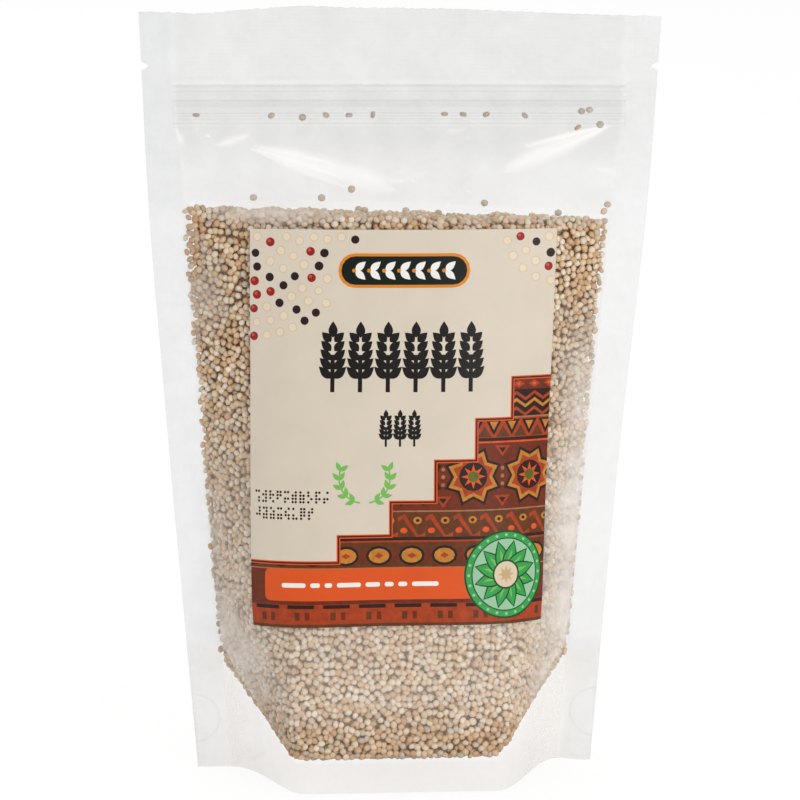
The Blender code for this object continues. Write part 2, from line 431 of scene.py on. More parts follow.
def filmRows():
    parts = (
        np.arange(208.0, 196.0, -0.8),
        np.arange(196.0, 191.2, -0.32),
        np.arange(191.2, 189.5, -0.5),
        np.arange(189.5, 176.3, -0.3),
        np.arange(176.3, 160.0, -0.5),
        np.arange(160.0, 150.0, -0.75),
        np.linspace(150.0, 0.0, 112),
    )
    return np.concatenate(parts)


def filmRelief(x, z, t):
    # Outward swells of the front: over the zip, along folds and as puckers by the side seals
    flank = np.abs(t)
    inward = (1.0 - np.minimum(1.0, flank)) * bellyHalf(z)
    zipWindow = ramp(z, 175.6, 2.4) * ramp(z, 190.6, -2.6) * smooth((1.0 - flank) * 30.0)
    onLabel = ramp(np.abs(x - 0.5), 46.0, -5.0) * ramp(z, 154.0, -4.0) * ramp(z, 40.0, 4.0)
    head = ramp(z, 150.0, 8.0) * ramp(z, 178.0, -3.0)
    edge = np.exp(-(inward / 5.0) ** 2)
    pucker = edge * np.sin(z * 0.62 + 2.2 * np.sin(z * 0.11 + 3.0 * np.sign(x))) * ramp(z, 165.0, -8.0)
    low = ramp(z, 12.0, 14.0)
    wave = film["wave"] * ripple(x, z, 22.0, 8) * ramp(z, 170.0, -9.0) * low
    relief = film["foldRise"] * foldShare(x, z) + film["headWave"] * head * ripple(x, z * 1.5, 34.0, 5)
    relief = relief + film["pucker"] * pucker * low + wave
    beside = np.exp(-((inward - 1.5) / 2.6) ** 2)
    swell = film["edgeSwell"] * beside * ramp(z, 160.0, -6.0) * smooth((z - arcHeight(x, z)) / 3.0 + 0.5)
    return (relief * (1.0 - onLabel) + swell) * smooth((1.0 - flank) * 40.0), zipWindow


def sealsHaze(x, z, e, front):
    haze = np.where(x < 0.0, film["leftSeal"], film["rightSeal"])
    haze = haze + film["cornerSeal"] * ramp(z, 34.6, -1.2)
    rightMore = film["rightSealLow"] * ramp(z, 64.0, -30.0) + film["rightSealHigh"] * ramp(z, 150.0, 30.0)
    haze = haze + smooth(x - 20.0) * rightMore
    haze = haze + smooth(-x - 20.0) * film["leftSealHigh"] * ramp(z, 150.0, 20.0)
    foot = film["skirt"] + film["sealFoot"] if front else film["backSkirt"]
    lowest = ramp(z, 33.0, -16.0) * (1.0 - 0.7 * np.abs(e))
    return haze + (foot - haze) * 0.85 * lowest


def filmHaze(x, z, t, e, front):
    # How much of the light the film stops at each point of a wall
    cover, fill, flank = grainCover(x, z), fillHeight(x), np.abs(t)
    bare = film["headspace"] + (film["belowZip"] - film["headspace"]) * ramp(z, 164.0, 10.0)
    bare = bare + film["lowBare"] * ramp(z, 42.0, -6.0)
    sides = ramp(x, 38.0, 10.0) * ramp(z, 140.0, -30.0)
    veil = np.maximum(ramp(z, 125.0, -65.0), 0.8 * sides) * (0.3 + 0.7 * ramp(z, 12.0, 16.0))
    haze = bare * (1.0 - cover) + (film["contact"] + film["veil"] * veil) * cover
    over = smooth((z - fill + 3.5) / 2.5) * smooth((fill + 5.0 - z) / 5.0)
    haze = np.maximum(haze, film["nearFill"] * over * smooth((1.0 - flank) * 12.0))
    if front:
        near = smooth((backY(x, z) - frontY(x, z) - 0.6) / 0.8)
        milky = cloudShare(x, z) * smooth((z - arcHeight(x, z)) / 1.5) * near
        haze = haze + (film["milky"] - haze) * milky
    haze = haze * (1.0 - film["foldClear"] * foldShare(x, z) * (1.0 if front else 0.4))
    haze = haze + (film["zipCover"] - haze) * ramp(z, 176.6, 1.0)
    haze = haze + film["uneven"] * ripple(x, z, 16.0, 31) * (1.0 - cover)
    skirt = smooth((arcHeight(x, z) - z) / 0.8 + 0.5) * (np.abs(e) < 0.01)
    lowHaze = film["skirt"] + film["skirtEnds"] * ramp(flank, 0.55, 0.45) if front else film["backSkirt"]
    haze = haze + (lowHaze - haze) * skirt
    haze = np.where(flank >= 0.999, sealsHaze(x, z, e, front), haze)
    inHeader = ramp(z, 188.9, 0.8)
    headerHaze = film["header"] + film["uneven"] * ripple(x, z, 24.0, 40)
    headerHaze = headerHaze + film["headerEnds"] * ramp(np.abs(x), 60.0, 3.0)
    return haze * (1.0 - inHeader) + headerHaze * inHeader


# The film's colours: bare film, the two side seals, the lower walls, lighter as painted light, the skirt, and
# a warm white for painted highlights on folds and painted reflection over milky places
filmTones = {
    "bare": (196, 196, 194),
    "leftSeal": (204, 205, 207),
    "rightSeal": (214, 214, 214),
    # Lighter, warmer tint of the lower walls: painted light
    "lower": (238, 227, 214),
    "skirt": (217, 204, 190),
    # Warm white of the painted highlight on folds and painted reflection over cloudy places
    "bright": (253, 247, 240),
}


def filmTint(x, z, t, e):
    tones = {name: linear(*tone) for name, tone in filmTones.items()}
    tint = np.ones((*np.broadcast(x, z).shape, 4))
    fill, seal = fillHeight(x), ramp(np.abs(t), 0.97, 0.03)
    skirt = smooth((arcHeight(x, z) + 1.0 - z) / 2.0) * (1.0 - seal)
    # Painted highlight on the folds and painted light and reflection over the cloudy places, plus a lighter
    # band along the top of the grain
    bright = foldShare(x, z) * 1.3 + 1.3 * cloudShare(x, z) * grainCover(x, z)
    bright = bright + 0.25 * smooth((z - fill + 5.0) / 3.0)
    bright = np.clip(bright - 0.25 * smooth((z - fill - 1.0) / 4.0), 0.0, 1.0) * (1.0 - seal)
    # Painted light: the walls are given a lighter, warmer tint towards the bottom
    lower = ramp(z, 150.0, -70.0)
    for i in range(3):
        soft = tones["skirt"][i]
        sealTone = np.where(x < 0.0, tones["leftSeal"][i], tones["rightSeal"][i])
        sealTone = sealTone + (soft - sealTone) * 0.7 * ramp(z, 34.6, -3.0) * (1.0 - 0.6 * np.abs(e))
        base = tones["bare"][i] + (sealTone - tones["bare"][i]) * seal
        base = base + (tones["lower"][i] - base) * 0.85 * lower * (1.0 - seal)
        base = base + (soft - base) * skirt
        tint[..., i] = base + (tones["bright"][i] - base) * bright
    return tint


def makeFilm(material):
    seal = np.arange(1, film["sealColumns"] + 1) / film["sealColumns"]
    belly = np.linspace(-1.0, 1.0, film["bellyColumns"] + 1)
    t = np.concatenate((np.full(len(seal), -1.0), belly, np.full(len(seal), 1.0)))[:, None]
    e = np.concatenate((-seal[::-1], np.zeros(len(belly)), seal))[:, None]
    taper = 1.0 - np.abs(e) ** 5

    def across(z):
        return centreX(z) + t * bellyHalf(z) + e * (outerHalf(z) - bellyHalf(z))

    def eased(surface, x, z):
        # Softens the turn of the foot, so that it shows no crease
        spread = 2.2 * ramp(z, 48.0, -30.0) * (np.abs(e) < 0.01)
        return 0.25 * surface(x - spread, z) + 0.5 * surface(x, z) + 0.25 * surface(x + spread, z)

    rows = filmRows()[None, :]
    x = across(rows)
    rng = random.Random(3)
    teeth = np.array([rng.uniform(-1.0, 1.0) for _ in range(len(t))])[:, None] * film["teeth"]
    z = rows + topEdge(x) * ramp(rows, 194.0, 14.0) + teeth * ramp(rows, 206.6, 1.0)
    middle = midY(x, rows)
    relief, zipWindow = filmRelief(x, rows, t)
    front = middle + (eased(frontY, x, rows) - relief - film["zipBulge"] * zipWindow - middle) * taper
    back = middle + (eased(backY, x, rows) + 0.6 * relief + film["zipBackBulge"] * zipWindow - middle) * taper

    arc = np.full_like(t, pouch["arcLow"])
    for _ in range(6):
        arc = arcHeight(across(arc), arc)
    inner = arc * np.linspace(0.0, 1.0, film["innerRows"])[None, :]
    innerX = across(inner)
    innerMid = midY(innerX, inner)
    lowFront, lowBack = eased(frontY, innerX, inner), eased(backY, innerX, inner)
    skirtGap = np.clip(0.3 * (lowBack - lowFront), 0.0, film["skirtGap"])
    innerFront = innerMid + (lowFront + skirtGap - innerMid) * taper
    innerBack = innerMid + (lowBack - skirtGap - innerMid) * taper

    share = sharesBetween(film["gussetRows"])
    deep = smooth((innerBack[:, -1:] - innerFront[:, -1:]) / 24.0)
    gussetZ = arc - film["gussetSag"] * deep * np.sin(np.pi * share)
    gussetY = innerFront[:, -1:] * (1.0 - share) + innerBack[:, -1:] * share
    gussetX = innerX[:, -1:] + 0.0 * share

    rings = np.concatenate((
        np.stack((x, front, z), -1),
        np.stack((innerX, innerFront, inner), -1),
        np.stack((gussetX, gussetY, gussetZ), -1),
        np.stack((innerX, innerBack, inner), -1)[:, ::-1],
        np.stack((x, back, z), -1)[:, ::-1],
    ), axis=1)
    skirtHaze = np.zeros_like(inner)
    haze = np.concatenate((
        filmHaze(x, rows, t, e, True), skirtHaze, np.zeros_like(gussetZ), skirtHaze,
        filmHaze(x, rows, t, e, False)[:, ::-1],
    ), axis=1)
    wallTint = filmTint(x, rows, t, e)
    lowTint = filmTint(innerX, inner, t, e)
    gussetTint = np.repeat(lowTint[:, :1], film["gussetRows"], axis=1)
    tint = np.concatenate((wallTint, lowTint, gussetTint, lowTint[:, ::-1], wallTint[:, ::-1]), axis=1)
    ribs = smooth((rings[..., 2] - 189.0) / 1.0)
    piece = closedTube("pouchFilm", rings, rings.shape[1] - 1, material,
                       {"haze": haze, "filmTint": tint, "ribs": ribs})
    piece.data.set_sharp_from_angle(angle=math.radians(50.0))
    return piece


# The round mark pressed into each lower corner: its centre to the side and up, its radius and its line
roundMark = {
    "shift": 1.4,
    "aside": 54.9,
    "level": 13.7,
    "radius": 6.7,
    "line": (0.1, 0.6),
    "strength": 0.02,
}


def clearMaterial(name, roughness, linePitch, lineDepth):
    # A see-through finish whose milkiness, colour and fine lines come from the mesh's attributes
    material, tree = newMaterial(name)
    place = objectPlace(tree)
    tint = attribute(tree, "filmTint", "Color")
    cloudGain = remap(tree, noise(tree, place, 130.0, 4.0, 0.6), 0.3, 0.7, 0.86, 1.14)
    parts = addNode(tree, "ShaderNodeSeparateXYZ", {0: place}).outputs
    line = maths(tree, "SINE", maths(tree, "MULTIPLY", parts["Z"], math.tau / (linePitch * mm)))
    line = maths(tree, "MULTIPLY", maths(tree, "MULTIPLY", line, attribute(tree, "ribs")), lineDepth)
    fromSide = maths(tree, "ABSOLUTE", maths(tree, "ADD", parts["X"], roundMark["shift"] * mm))
    fromSide = maths(tree, "SUBTRACT", fromSide, roundMark["aside"] * mm)
    fromMark = combined(tree, fromSide, maths(tree, "SUBTRACT", parts["Z"], roundMark["level"] * mm))
    away = addNode(tree, "ShaderNodeVectorMath", {0: fromMark}, operation="LENGTH").outputs["Value"]
    away = maths(tree, "ABSOLUTE", maths(tree, "SUBTRACT", away, roundMark["radius"] * mm))
    near, far = roundMark["line"]
    line = maths(tree, "ADD", line, remap(tree, away, near * mm, far * mm, roundMark["strength"], 0.0))
    gloss = addNode(tree, "ShaderNodeLayerWeight", {"Blend": 0.28}).outputs["Fresnel"]
    gloss = maths(tree, "MULTIPLY_ADD", gloss, 0.5, cloudGain)
    stopped = maths(tree, "MULTIPLY_ADD", attribute(tree, "haze"), gloss, line)
    stopped = addNode(tree, "ShaderNodeClamp", {"Value": stopped, "Min": 0.0, "Max": 0.95}).outputs[0]
    crinkle = bumped(tree, noise(tree, place, 260.0, 3.0), 0.05, 0.0004)
    plastic = addNode(tree, "ShaderNodeBsdfPrincipled",
                      {"Base Color": tint, "Roughness": roughness, "IOR": 1.5, "Normal": crinkle})
    through = addNode(tree, "ShaderNodeBsdfTransparent")
    showSurface(tree, addNode(tree, "ShaderNodeMixShader",
                              {0: stopped, 1: through.outputs[0], 2: plastic.outputs[0]}))
    return material


pouchFilm = makeFilm(clearMaterial("clearFilm", 0.3, 1.05, 0.004))
print("film:", len(pouchFilm.data.polygons), "faces")

# The press zip: a strip inside the front and one inside the back, with mating ribs
zipStrips = {
    "columns": 60,
    "level": 183.0,
    "endGap": 0.3,
    "tone": (190, 188, 186),
    "frontFace": -1.5,
    "backFace": 0.95,
    "thickness": 0.22,
    "ribDepth": 0.75,
    "ribHalf": 0.35,
    "frontRibs": (180.3, 183.9, 187.6),
    "backRibs": (181.3, 184.8),
    "bandHaze": 0.01,
    "ribHaze": 0.012,
    # Lines moulded along the front strip: height, half width, milkiness
    "lines": ((188.0, 0.55, 0.17), (186.5, 0.26, 0.11), (183.95, 0.5, 0.2), (182.9, 0.8, 0.12),
              (180.6, 0.24, 0.1), (179.8, 0.22, 0.07), (179.05, 0.22, 0.08), (177.75, 0.3, 0.14)),
}


def stripProfile(face, ribs, inward):
    # Closed section of one strip as height, depth and milkiness, from its top edge down and back up
    low, high = zipLow.z / mm + 0.05, zipHigh.z / mm - 0.05
    thick, deep, half = zipStrips["thickness"], zipStrips["ribDepth"], zipStrips["ribHalf"]
    outer = []
    for z in np.linspace(high, low, 72 if inward > 0 else 12):
        milk = max(amount * float(smooth(1.6 * (1.0 - abs(z - level) / wide)))
                   for level, wide, amount in zipStrips["lines"])
        milk = milk if inward > 0 else 0.0
        outer.append((z, face - inward * milk * 1.2, zipStrips["bandHaze"] + milk))
    inner = [(low, face + inward * thick, zipStrips["bandHaze"])]
    for z in sorted(ribs):
        root, tip = face + inward * thick, face + inward * (thick + deep)
        inner += [(z - half, root, zipStrips["ribHaze"]), (z - half * 0.8, tip, zipStrips["ribHaze"])]
        inner += [(z + half * 0.8, tip, zipStrips["ribHaze"]), (z + half, root, zipStrips["ribHaze"])]
    inner.append((high, face + inward * thick, zipStrips["bandHaze"]))
    section = outer + inner
    return section if inward > 0 else section[::-1]


def makeZip(material):
    points, faces, haze = [], [], []
    middle = float(centreX(zipStrips["level"]))
    reach = bellyHalf(zipStrips["level"]) - zipStrips["endGap"]
    for face, ribs, inward in ((zipStrips["frontFace"], zipStrips["frontRibs"], 1.0),
                               (zipStrips["backFace"], zipStrips["backRibs"], -1.0)):
        section = stripProfile(face, ribs, inward)
        size = len(section)
        start = len(points)
        for i in range(zipStrips["columns"] + 1):
            x = middle + (2.0 * i / zipStrips["columns"] - 1.0) * reach
            for z, depth, milk in section:
                points.append((x, float(midY(x, z)) + depth, z))
                haze.append(milk)
        for i in range(zipStrips["columns"]):
            for k in range(size):
                a, b = start + i * size + k, start + i * size + (k + 1) % size
                faces.append((a, b, b + size, a + size))
        faces.append(tuple(start + k for k in reversed(range(size))))
        faces.append(tuple(start + zipStrips["columns"] * size + k for k in range(size)))
    mesh = newMesh("pressZip", points, faces, material)
    pointValues(mesh, "haze", haze)
    pointValues(mesh, "filmTint", [rgba(*zipStrips["tone"])] * len(points))
    pointValues(mesh, "ribs", np.zeros(len(points)))
    mesh.set_sharp_from_angle(angle=math.radians(35.0))
    return newObject("pressZip", mesh)


pressZip = makeZip(clearMaterial("zipPlastic", 0.35, 1.0, 0.0))
print("zip:", len(pressZip.data.polygons), "faces")

# The grain: a relief core, an under layer and an outer layer of seeds, by kinds
grain = {
    "outerInset": 1.3,
    "innerInset": 1.95,
    "coreInset": 2.5,
    "outerSpacing": 1.38,
    "innerSpacing": 1.55,
    "radius": 1.04,
    "thick": 0.62,
    "columns": 64,
    "sideRows": 66,
    "baseRows": 14,
    "topRows": 10,
    "backDrop": 1.2,
    # How much thinner than two layers the bag may be where the grain ends: anywhere, higher up, on the left
    "edgeSlack": 0.3,
    "highSlack": 0.3,
    "leftSlack": 0.9,
    # Core tones: a seed tone for the middle of each cell, and a darker one at the cell edges as painted shade
    # in the gaps between seeds
    "coreTones": ((214, 182, 142), (150, 110, 72)),
}
# Kinds of seed: share from, share to, two body colours, rim colour
seedKinds = {
    "quinoaCream": (0.0, 0.36, (248, 232, 210), (218, 192, 156), (190, 148, 104)),
    "quinoaTan": (0.36, 0.66, (240, 214, 182), (206, 170, 129), (172, 126, 84)),
    "quinoaPale": (0.66, 0.84, (252, 243, 230), (228, 212, 187), (202, 168, 130)),
    "quinoaAmber": (0.84, 0.89, (232, 200, 160), (204, 163, 118), (166, 118, 76)),
    "quinoaGrey": (0.89, 1.0, (238, 226, 210), (202, 186, 164), (160, 134, 108)),
}


def edgeReach(inset):
    # Share of the belly's width that the grain fills on each side, by height
    heights = np.linspace(0.0, 160.0, 81)[:, None]
    steps = np.linspace(0.45, 1.0, 276)[None, :]
    reach = []
    for side in (-1.0, 1.0):
        x = centreX(heights) + side * steps * bellyHalf(heights)
        slack = grain["highSlack"] * ramp(heights, 115.0, 25.0)
        if side < 0.0:
            slack = slack + grain["leftSlack"] * ramp(heights, 30.0, 20.0)
        gap = backY(x, heights) - frontY(x, heights)
        wide = gap > 2.0 * inset - grain["edgeSlack"] - slack
        reach.append(np.where(wide, steps, 0.45).max(axis=1))
    return heights[:, 0], reach[0], reach[1]


def fillRings(inset):
    # The grain's surface, set in from the film by the inset
    heights, left, right = edgeReach(inset)
    s = np.linspace(-1.0, 1.0, grain["columns"] + 1)[:, None]

    def across(z):
        reach = np.where(s < 0.0, np.interp(z, heights, left), np.interp(z, heights, right))
        return centreX(z) + s * reach * bellyHalf(z)

    def setIn(x, z, surface):
        slopeX, slopeZ = slopes(surface, x, z, 0.2)
        return inset * np.minimum(2.4, np.sqrt(1.0 + slopeX ** 2 + slopeZ ** 2))

    low = np.full_like(s, 12.0)
    for _ in range(12):
        low = 0.5 * low + 0.5 * (arcHeight(across(low), low) + inset * 0.75)
    high = fillHeight(across(np.full_like(s, 154.0))) - inset
    run = np.linspace(0.0, 1.0, grain["sideRows"])[None, :]
    z = high + (low - high) * run
    x = across(z)
    front = frontY(x, z) + setIn(x, z, frontY)
    back = backY(x, z) - setIn(x, z, backY)
    middle = 0.5 * (frontY(x, z) + backY(x, z))
    front = np.where(np.abs(s) > 0.999, middle, np.minimum(front, middle - 0.1))
    back = np.where(np.abs(s) > 0.999, middle, np.maximum(back, middle + 0.1))
    share = sharesBetween(grain["baseRows"])
    baseX = x[:, -1:] + 0.0 * share
    baseZ = low - film["gussetSag"] * np.sin(np.pi * share)
    baseY = front[:, -1:] * (1.0 - share) + back[:, -1:] * share
    topShare = sharesBetween(grain["topRows"])
    topX = x[:, :1] + 0.0 * topShare
    topY = back[:, :1] * (1.0 - topShare) + front[:, :1] * topShare
    heap = 0.5 * ripple(topX, topY, 12.0, 17) * np.sin(np.pi * topShare)
    topZ = high - grain["backDrop"] * (1.0 - topShare) * (1.0 - s * s) + heap
    backZ = z - grain["backDrop"] * (1.0 - s * s) * (1.0 - run)
    rings = np.concatenate((
        np.stack((x, front, z), -1),
        np.stack((baseX, baseY, baseZ), -1),
        np.stack((x, back, backZ), -1)[:, ::-1],
        np.stack((topX, topY, topZ), -1),
    ), axis=1)
    hidden = ramp(np.abs(x - 1.0), 39.5, -2.0) * ramp(z, 148.0, -2.0) * ramp(z, 48.0, 2.0)
    shown = np.concatenate((1.0 - hidden, np.ones_like(baseX), np.ones_like(x), np.ones_like(topX)), axis=1)
    return rings, shown


def fillSurface(name, inset, material):
    rings, shown = fillRings(inset)
    foldStart = 2 * grain["sideRows"] + grain["baseRows"] - 1
    return closedTube(name, rings, foldStart, material, {"open": shown})


def seedMesh(name, segments, rings):
    # One seed: a thick little disc with a rounded rim
    radius, thick = grain["radius"], grain["thick"]
    points, rim = [(0.0, 0.0, -thick * 0.94)], [0.0]
    for share, level in rings:
        for i in range(segments):
            angle = math.tau * (i + 0.5 * (level > 0)) / segments
            points.append((radius * share * math.cos(angle), radius * share * math.sin(angle), thick * level))
            rim.append(share ** 6)
    points.append((0.0, 0.0, thick * 0.94))
    rim.append(0.0)
    faces = [(0, 1 + (i + 1) % segments, 1 + i) for i in range(segments)]
    for r in range(len(rings) - 1):
        for i in range(segments):
            a, b = 1 + r * segments + i, 1 + r * segments + (i + 1) % segments
            faces.append((a, b, b + segments, a + segments))
    last = 1 + (len(rings) - 1) * segments
    faces += [(last + i, last + (i + 1) % segments, len(points) - 1) for i in range(segments)]
    mesh = newMesh(name, points, faces, None)
    pointValues(mesh, "rim", rim)
    return mesh


def chance(tree, seed, low=0.0, high=1.0):
    inputs = {2: low, 3: high, "Seed": seed}
    return addNode(tree, "FunctionNodeRandomValue", inputs, data_type="FLOAT").outputs[1]


def vectorChance(tree, seed, low, high):
    inputs = {0: low, 1: high, "Seed": seed}
    return addNode(tree, "FunctionNodeRandomValue", inputs, data_type="FLOAT_VECTOR").outputs[0]


def scatterTree():
    # Seeds on a surface: evenly spaced points, one kind's share of them, each laid and sized at random
    tree = bpy.data.node_groups.new("seedScatter", "GeometryNodeTree")
    sockets = (
        ("Surface", "NodeSocketGeometry", None), ("Grain", "NodeSocketObject", None),
        ("Finish", "NodeSocketMaterial", None), ("Spacing", "NodeSocketFloat", 0.0018),
        ("From", "NodeSocketFloat", 0.0), ("To", "NodeSocketFloat", 1.0),
        ("Tilt", "NodeSocketFloat", 0.9), ("Smallest", "NodeSocketFloat", 0.88),
        ("Largest", "NodeSocketFloat", 1.1), ("Depth", "NodeSocketFloat", 0.00015),
        ("Seed", "NodeSocketInt", 4),
    )
    for label, kind, value in sockets:
        socket = tree.interface.new_socket(label, in_out="INPUT", socket_type=kind)
        if value is not None:
            socket.default_value = value
    tree.interface.new_socket("Seeds", in_out="OUTPUT", socket_type="NodeSocketGeometry")
    given = addNode(tree, "NodeGroupInput").outputs
    openShare = addNode(tree, "GeometryNodeInputNamedAttribute", {"Name": "open"}, data_type="FLOAT")
    spread = addNode(tree, "GeometryNodeDistributePointsOnFaces", {
        "Mesh": given["Surface"], "Distance Min": given["Spacing"], "Density Max": 2.4e6,
        "Density Factor": openShare.outputs["Attribute"], "Seed": given["Seed"],
    }, distribute_method="POISSON")
    kind = chance(tree, 11)
    other = maths(tree, "ADD", maths(tree, "LESS_THAN", kind, given["From"]),
                  maths(tree, "SUBTRACT", 1.0, maths(tree, "LESS_THAN", kind, given["To"])))
    chosen = addNode(tree, "GeometryNodeDeleteGeometry",
                     {"Geometry": spread.outputs["Points"], "Selection": other}, domain="POINT")
    deep = chance(tree, 12, maths(tree, "MULTIPLY", given["Depth"], -1.0), given["Depth"])
    inward = {0: spread.outputs["Normal"], "Scale": deep}
    push = addNode(tree, "ShaderNodeVectorMath", inward, operation="SCALE").outputs[0]
    placed = addNode(tree, "GeometryNodeSetPosition", {"Geometry": chosen.outputs[0], "Offset": push})
    tilt, back = given["Tilt"], maths(tree, "MULTIPLY", given["Tilt"], -1.0)
    lean = vectorChance(tree, 13, combined(tree, back, back), combined(tree, tilt, tilt, math.tau))
    turn = addNode(tree, "FunctionNodeEulerToRotation", {0: lean})
    laid = addNode(tree, "FunctionNodeRotateRotation",
                   {0: spread.outputs["Rotation"], 1: turn.outputs[0]}, rotation_space="LOCAL")
    small, large = (combined(tree, given[name], given[name], given[name]) for name in ("Smallest", "Largest"))
    shape = addNode(tree, "GeometryNodeObjectInfo", {"Object": given["Grain"]})
    seeds = addNode(tree, "GeometryNodeInstanceOnPoints", {
        "Points": placed.outputs[0], "Instance": shape.outputs["Geometry"],
        "Rotation": laid.outputs[0], "Scale": vectorChance(tree, 14, small, large),
    })
    toned = addNode(tree, "GeometryNodeStoreNamedAttribute",
                    {"Geometry": seeds.outputs[0], "Name": "tone", "Value": chance(tree, 15)},
                    data_type="FLOAT", domain="INSTANCE")
    real = addNode(tree, "GeometryNodeRealizeInstances", {"Geometry": toned.outputs[0]})
    finished = addNode(tree, "GeometryNodeSetMaterial",
                       {"Geometry": real.outputs[0], "Material": given["Finish"]})
    addNode(tree, "NodeGroupOutput", {"Seeds": finished.outputs[0]})
    return tree


def scatterSeeds(name, surface, tree, values):
    # Runs the tree on a copy of the surface and keeps the result as a plain mesh
    carrier = newObject("carrier", surface.data.copy())
    modifier = carrier.modifiers.new("seeds", "NODES")
    modifier.node_group = tree
    for item in tree.interface.items_tree:
        if item.in_out == "INPUT" and item.name in values:
            modifier[item.identifier] = values[item.name]
    ready = carrier.evaluated_get(bpy.context.evaluated_depsgraph_get())
    mesh = bpy.data.meshes.new_from_object(ready)
    mesh.name = name
    bpy.data.objects.remove(carrier)
    return newObject(name, mesh)


def seedMaterial(name, first, second, rimColour):
    material, tree = newMaterial(name)
    place = objectPlace(tree)
    parts = addNode(tree, "ShaderNodeSeparateXYZ", {0: place}).outputs
    # Painted shade and light: the darker body colour gains towards the top, at the foot and at the upper
    # left, and the lighter one gains just above the foot
    paintedShade = remap(tree, parts["Z"], 0.03, 0.12, -0.5, 0.35)
    paintedShade = maths(tree, "MAXIMUM", paintedShade, remap(tree, parts["Z"], 0.006, 0.026, 1.25, -0.5))
    paintedShadeLeft = remap(tree, parts["X"], -0.052, -0.034, 0.4, 0.0)
    paintedShade = maths(tree, "MULTIPLY_ADD", paintedShadeLeft, remap(tree, parts["Z"], 0.105, 0.135), paintedShade)
    # Each seed's random tone, with the painted shade added
    tones = {0: attribute(tree, "tone"), 1: paintedShade}
    tone = addNode(tree, "ShaderNodeMath", tones, operation="ADD", use_clamp=True).outputs[0]
    mottle = noise(tree, place, 1100.0, 2.0)
    body = mixed(tree, tone, rgba(*first), rgba(*second))
    spotted = mixed(tree, remap(tree, mottle, 0.42, 0.72, 0.0, 0.45), body, rgba(*second))
    edge = maths(tree, "MULTIPLY", attribute(tree, "rim"), 0.45)
    showSurface(tree, addNode(tree, "ShaderNodeBsdfPrincipled", {
        "Base Color": mixed(tree, edge, spotted, rgba(*rimColour)), "Roughness": 0.5,
        "Specular IOR Level": 0.4, "Normal": bumped(tree, mottle, 0.3, 0.0001),
    }))
    return material


def coreMaterial():
    material, tree = newMaterial("deepGrain")
    cells = addNode(tree, "ShaderNodeTexVoronoi", {"Vector": objectPlace(tree), "Scale": 520.0})
    cells = cells.outputs["Distance"]
    # Painted shade between seeds: the cell edges take the darker core tone
    colour = addNode(tree, "ShaderNodeValToRGB", {0: cells})
    near, far = colour.color_ramp.elements
    near.color, far.color = (rgba(*tone) for tone in grain["coreTones"])
    far.position = 0.7
    showSurface(tree, addNode(tree, "ShaderNodeBsdfPrincipled", {
        "Base Color": colour.outputs[0], "Roughness": 0.8,
        "Normal": bumped(tree, cells, 0.8, 0.0006, invert=True),
    }))
    return material


grainCore = fillSurface("grainCore", grain["coreInset"], coreMaterial())
outerFill = fillSurface("outerFill", grain["outerInset"], None)
innerFill = fillSurface("innerFill", grain["innerInset"], None)
fineSeed = newObject("fineSeed", seedMesh("fineSeed", 9, ((0.74, -0.76), (1.0, 0.04), (0.74, 0.76))))
plainSeed = newObject("plainSeed", seedMesh("plainSeed", 8, ((0.86, -0.52), (0.86, 0.52))))
tree = scatterTree()
grainPieces = [grainCore]
seedFinish = {}
for kindName, (start, end, first, second, rimColour) in seedKinds.items():
    seedFinish[kindName] = seedMaterial(kindName, first, second, rimColour)
    grainPieces.append(scatterSeeds(kindName, outerFill, tree, {
        "Grain": fineSeed, "Finish": seedFinish[kindName], "Spacing": grain["outerSpacing"] * mm,
        "From": start, "To": end, "Tilt": 0.72, "Seed": 4,
    }))
for kindName, start, end, finish in (("quinoaUnderTan", 0.0, 0.5, "quinoaTan"),
                                     ("quinoaUnderAmber", 0.5, 1.0, "quinoaAmber")):
    grainPieces.append(scatterSeeds(kindName, innerFill, tree, {
        "Grain": plainSeed, "Finish": seedFinish[finish], "Spacing": grain["innerSpacing"] * mm,
        "From": start, "To": end, "Tilt": 1.2, "Depth": 0.0003, "Seed": 9,
    }))
for piece in grainPieces:
    print("grain:", piece.name, len(piece.data.polygons), "faces")
for spare in (outerFill, innerFill, plainSeed):
    bpy.data.objects.remove(spare)

# Loose seeds: x, z, lean, spin, kind, and which film they cling to (-1 front, 0 in the zip, 1 back)
looseSeeds = (
    (-54.8, 180.0, 78, 0, 4, 0), (-34.6, 179.8, 60, 38, 4, 0), (-26.2, 179.3, 12, 0, 4, 0),
    (-19.9, 179.9, 58, -24, 4, 0), (-13.7, 179.9, 72, 0, 4, 0), (-7.3, 180.0, 78, 86, 4, 0),
    (12.0, 180.2, 74, 0, 4, 0), (17.0, 180.1, 70, -12, 4, 0), (23.2, 180.1, 66, 24, 4, 0),
    (33.6, 179.8, 68, -42, 4, 0), (48.8, 181.0, 30, 10, 4, 0), (50.9, 181.4, 48, 0, 4, 0),
    (47.8, 176.6, 80, 40, 1, 0), (53.8, 177.4, 8, 0, 4, 0),
    (-39.4, 158.2, 20, 20, 4, -1), (-21.0, 158.6, 8, 0, 4, -1), (-13.0, 160.9, 10, 60, 4, -1),
    (22.9, 155.0, 14, 0, 4, 1), (42.8, 152.8, 20, 0, 4, 1), (50.3, 151.4, 14, 0, 4, 1),
    (56.0, 155.6, 40, 0, 4, -1), (55.0, 153.8, 35, 50, 0, -1), (53.8, 150.8, 16, 0, 4, -1),
    (-34.4, 153.4, 12, 0, 4, 1), (-36.0, 152.9, 20, 0, 0, 1), (-20.6, 152.6, 12, 30, 4, 1),
    (-11.2, 153.0, 10, 0, 4, 1), (-9.6, 152.8, 24, 0, 0, 1), (1.6, 152.6, 14, 10, 4, 1),
    (10.4, 152.0, 18, 0, 4, 1), (26.6, 151.4, 12, 0, 4, 1), (37.4, 150.6, 16, 0, 4, 1),
)


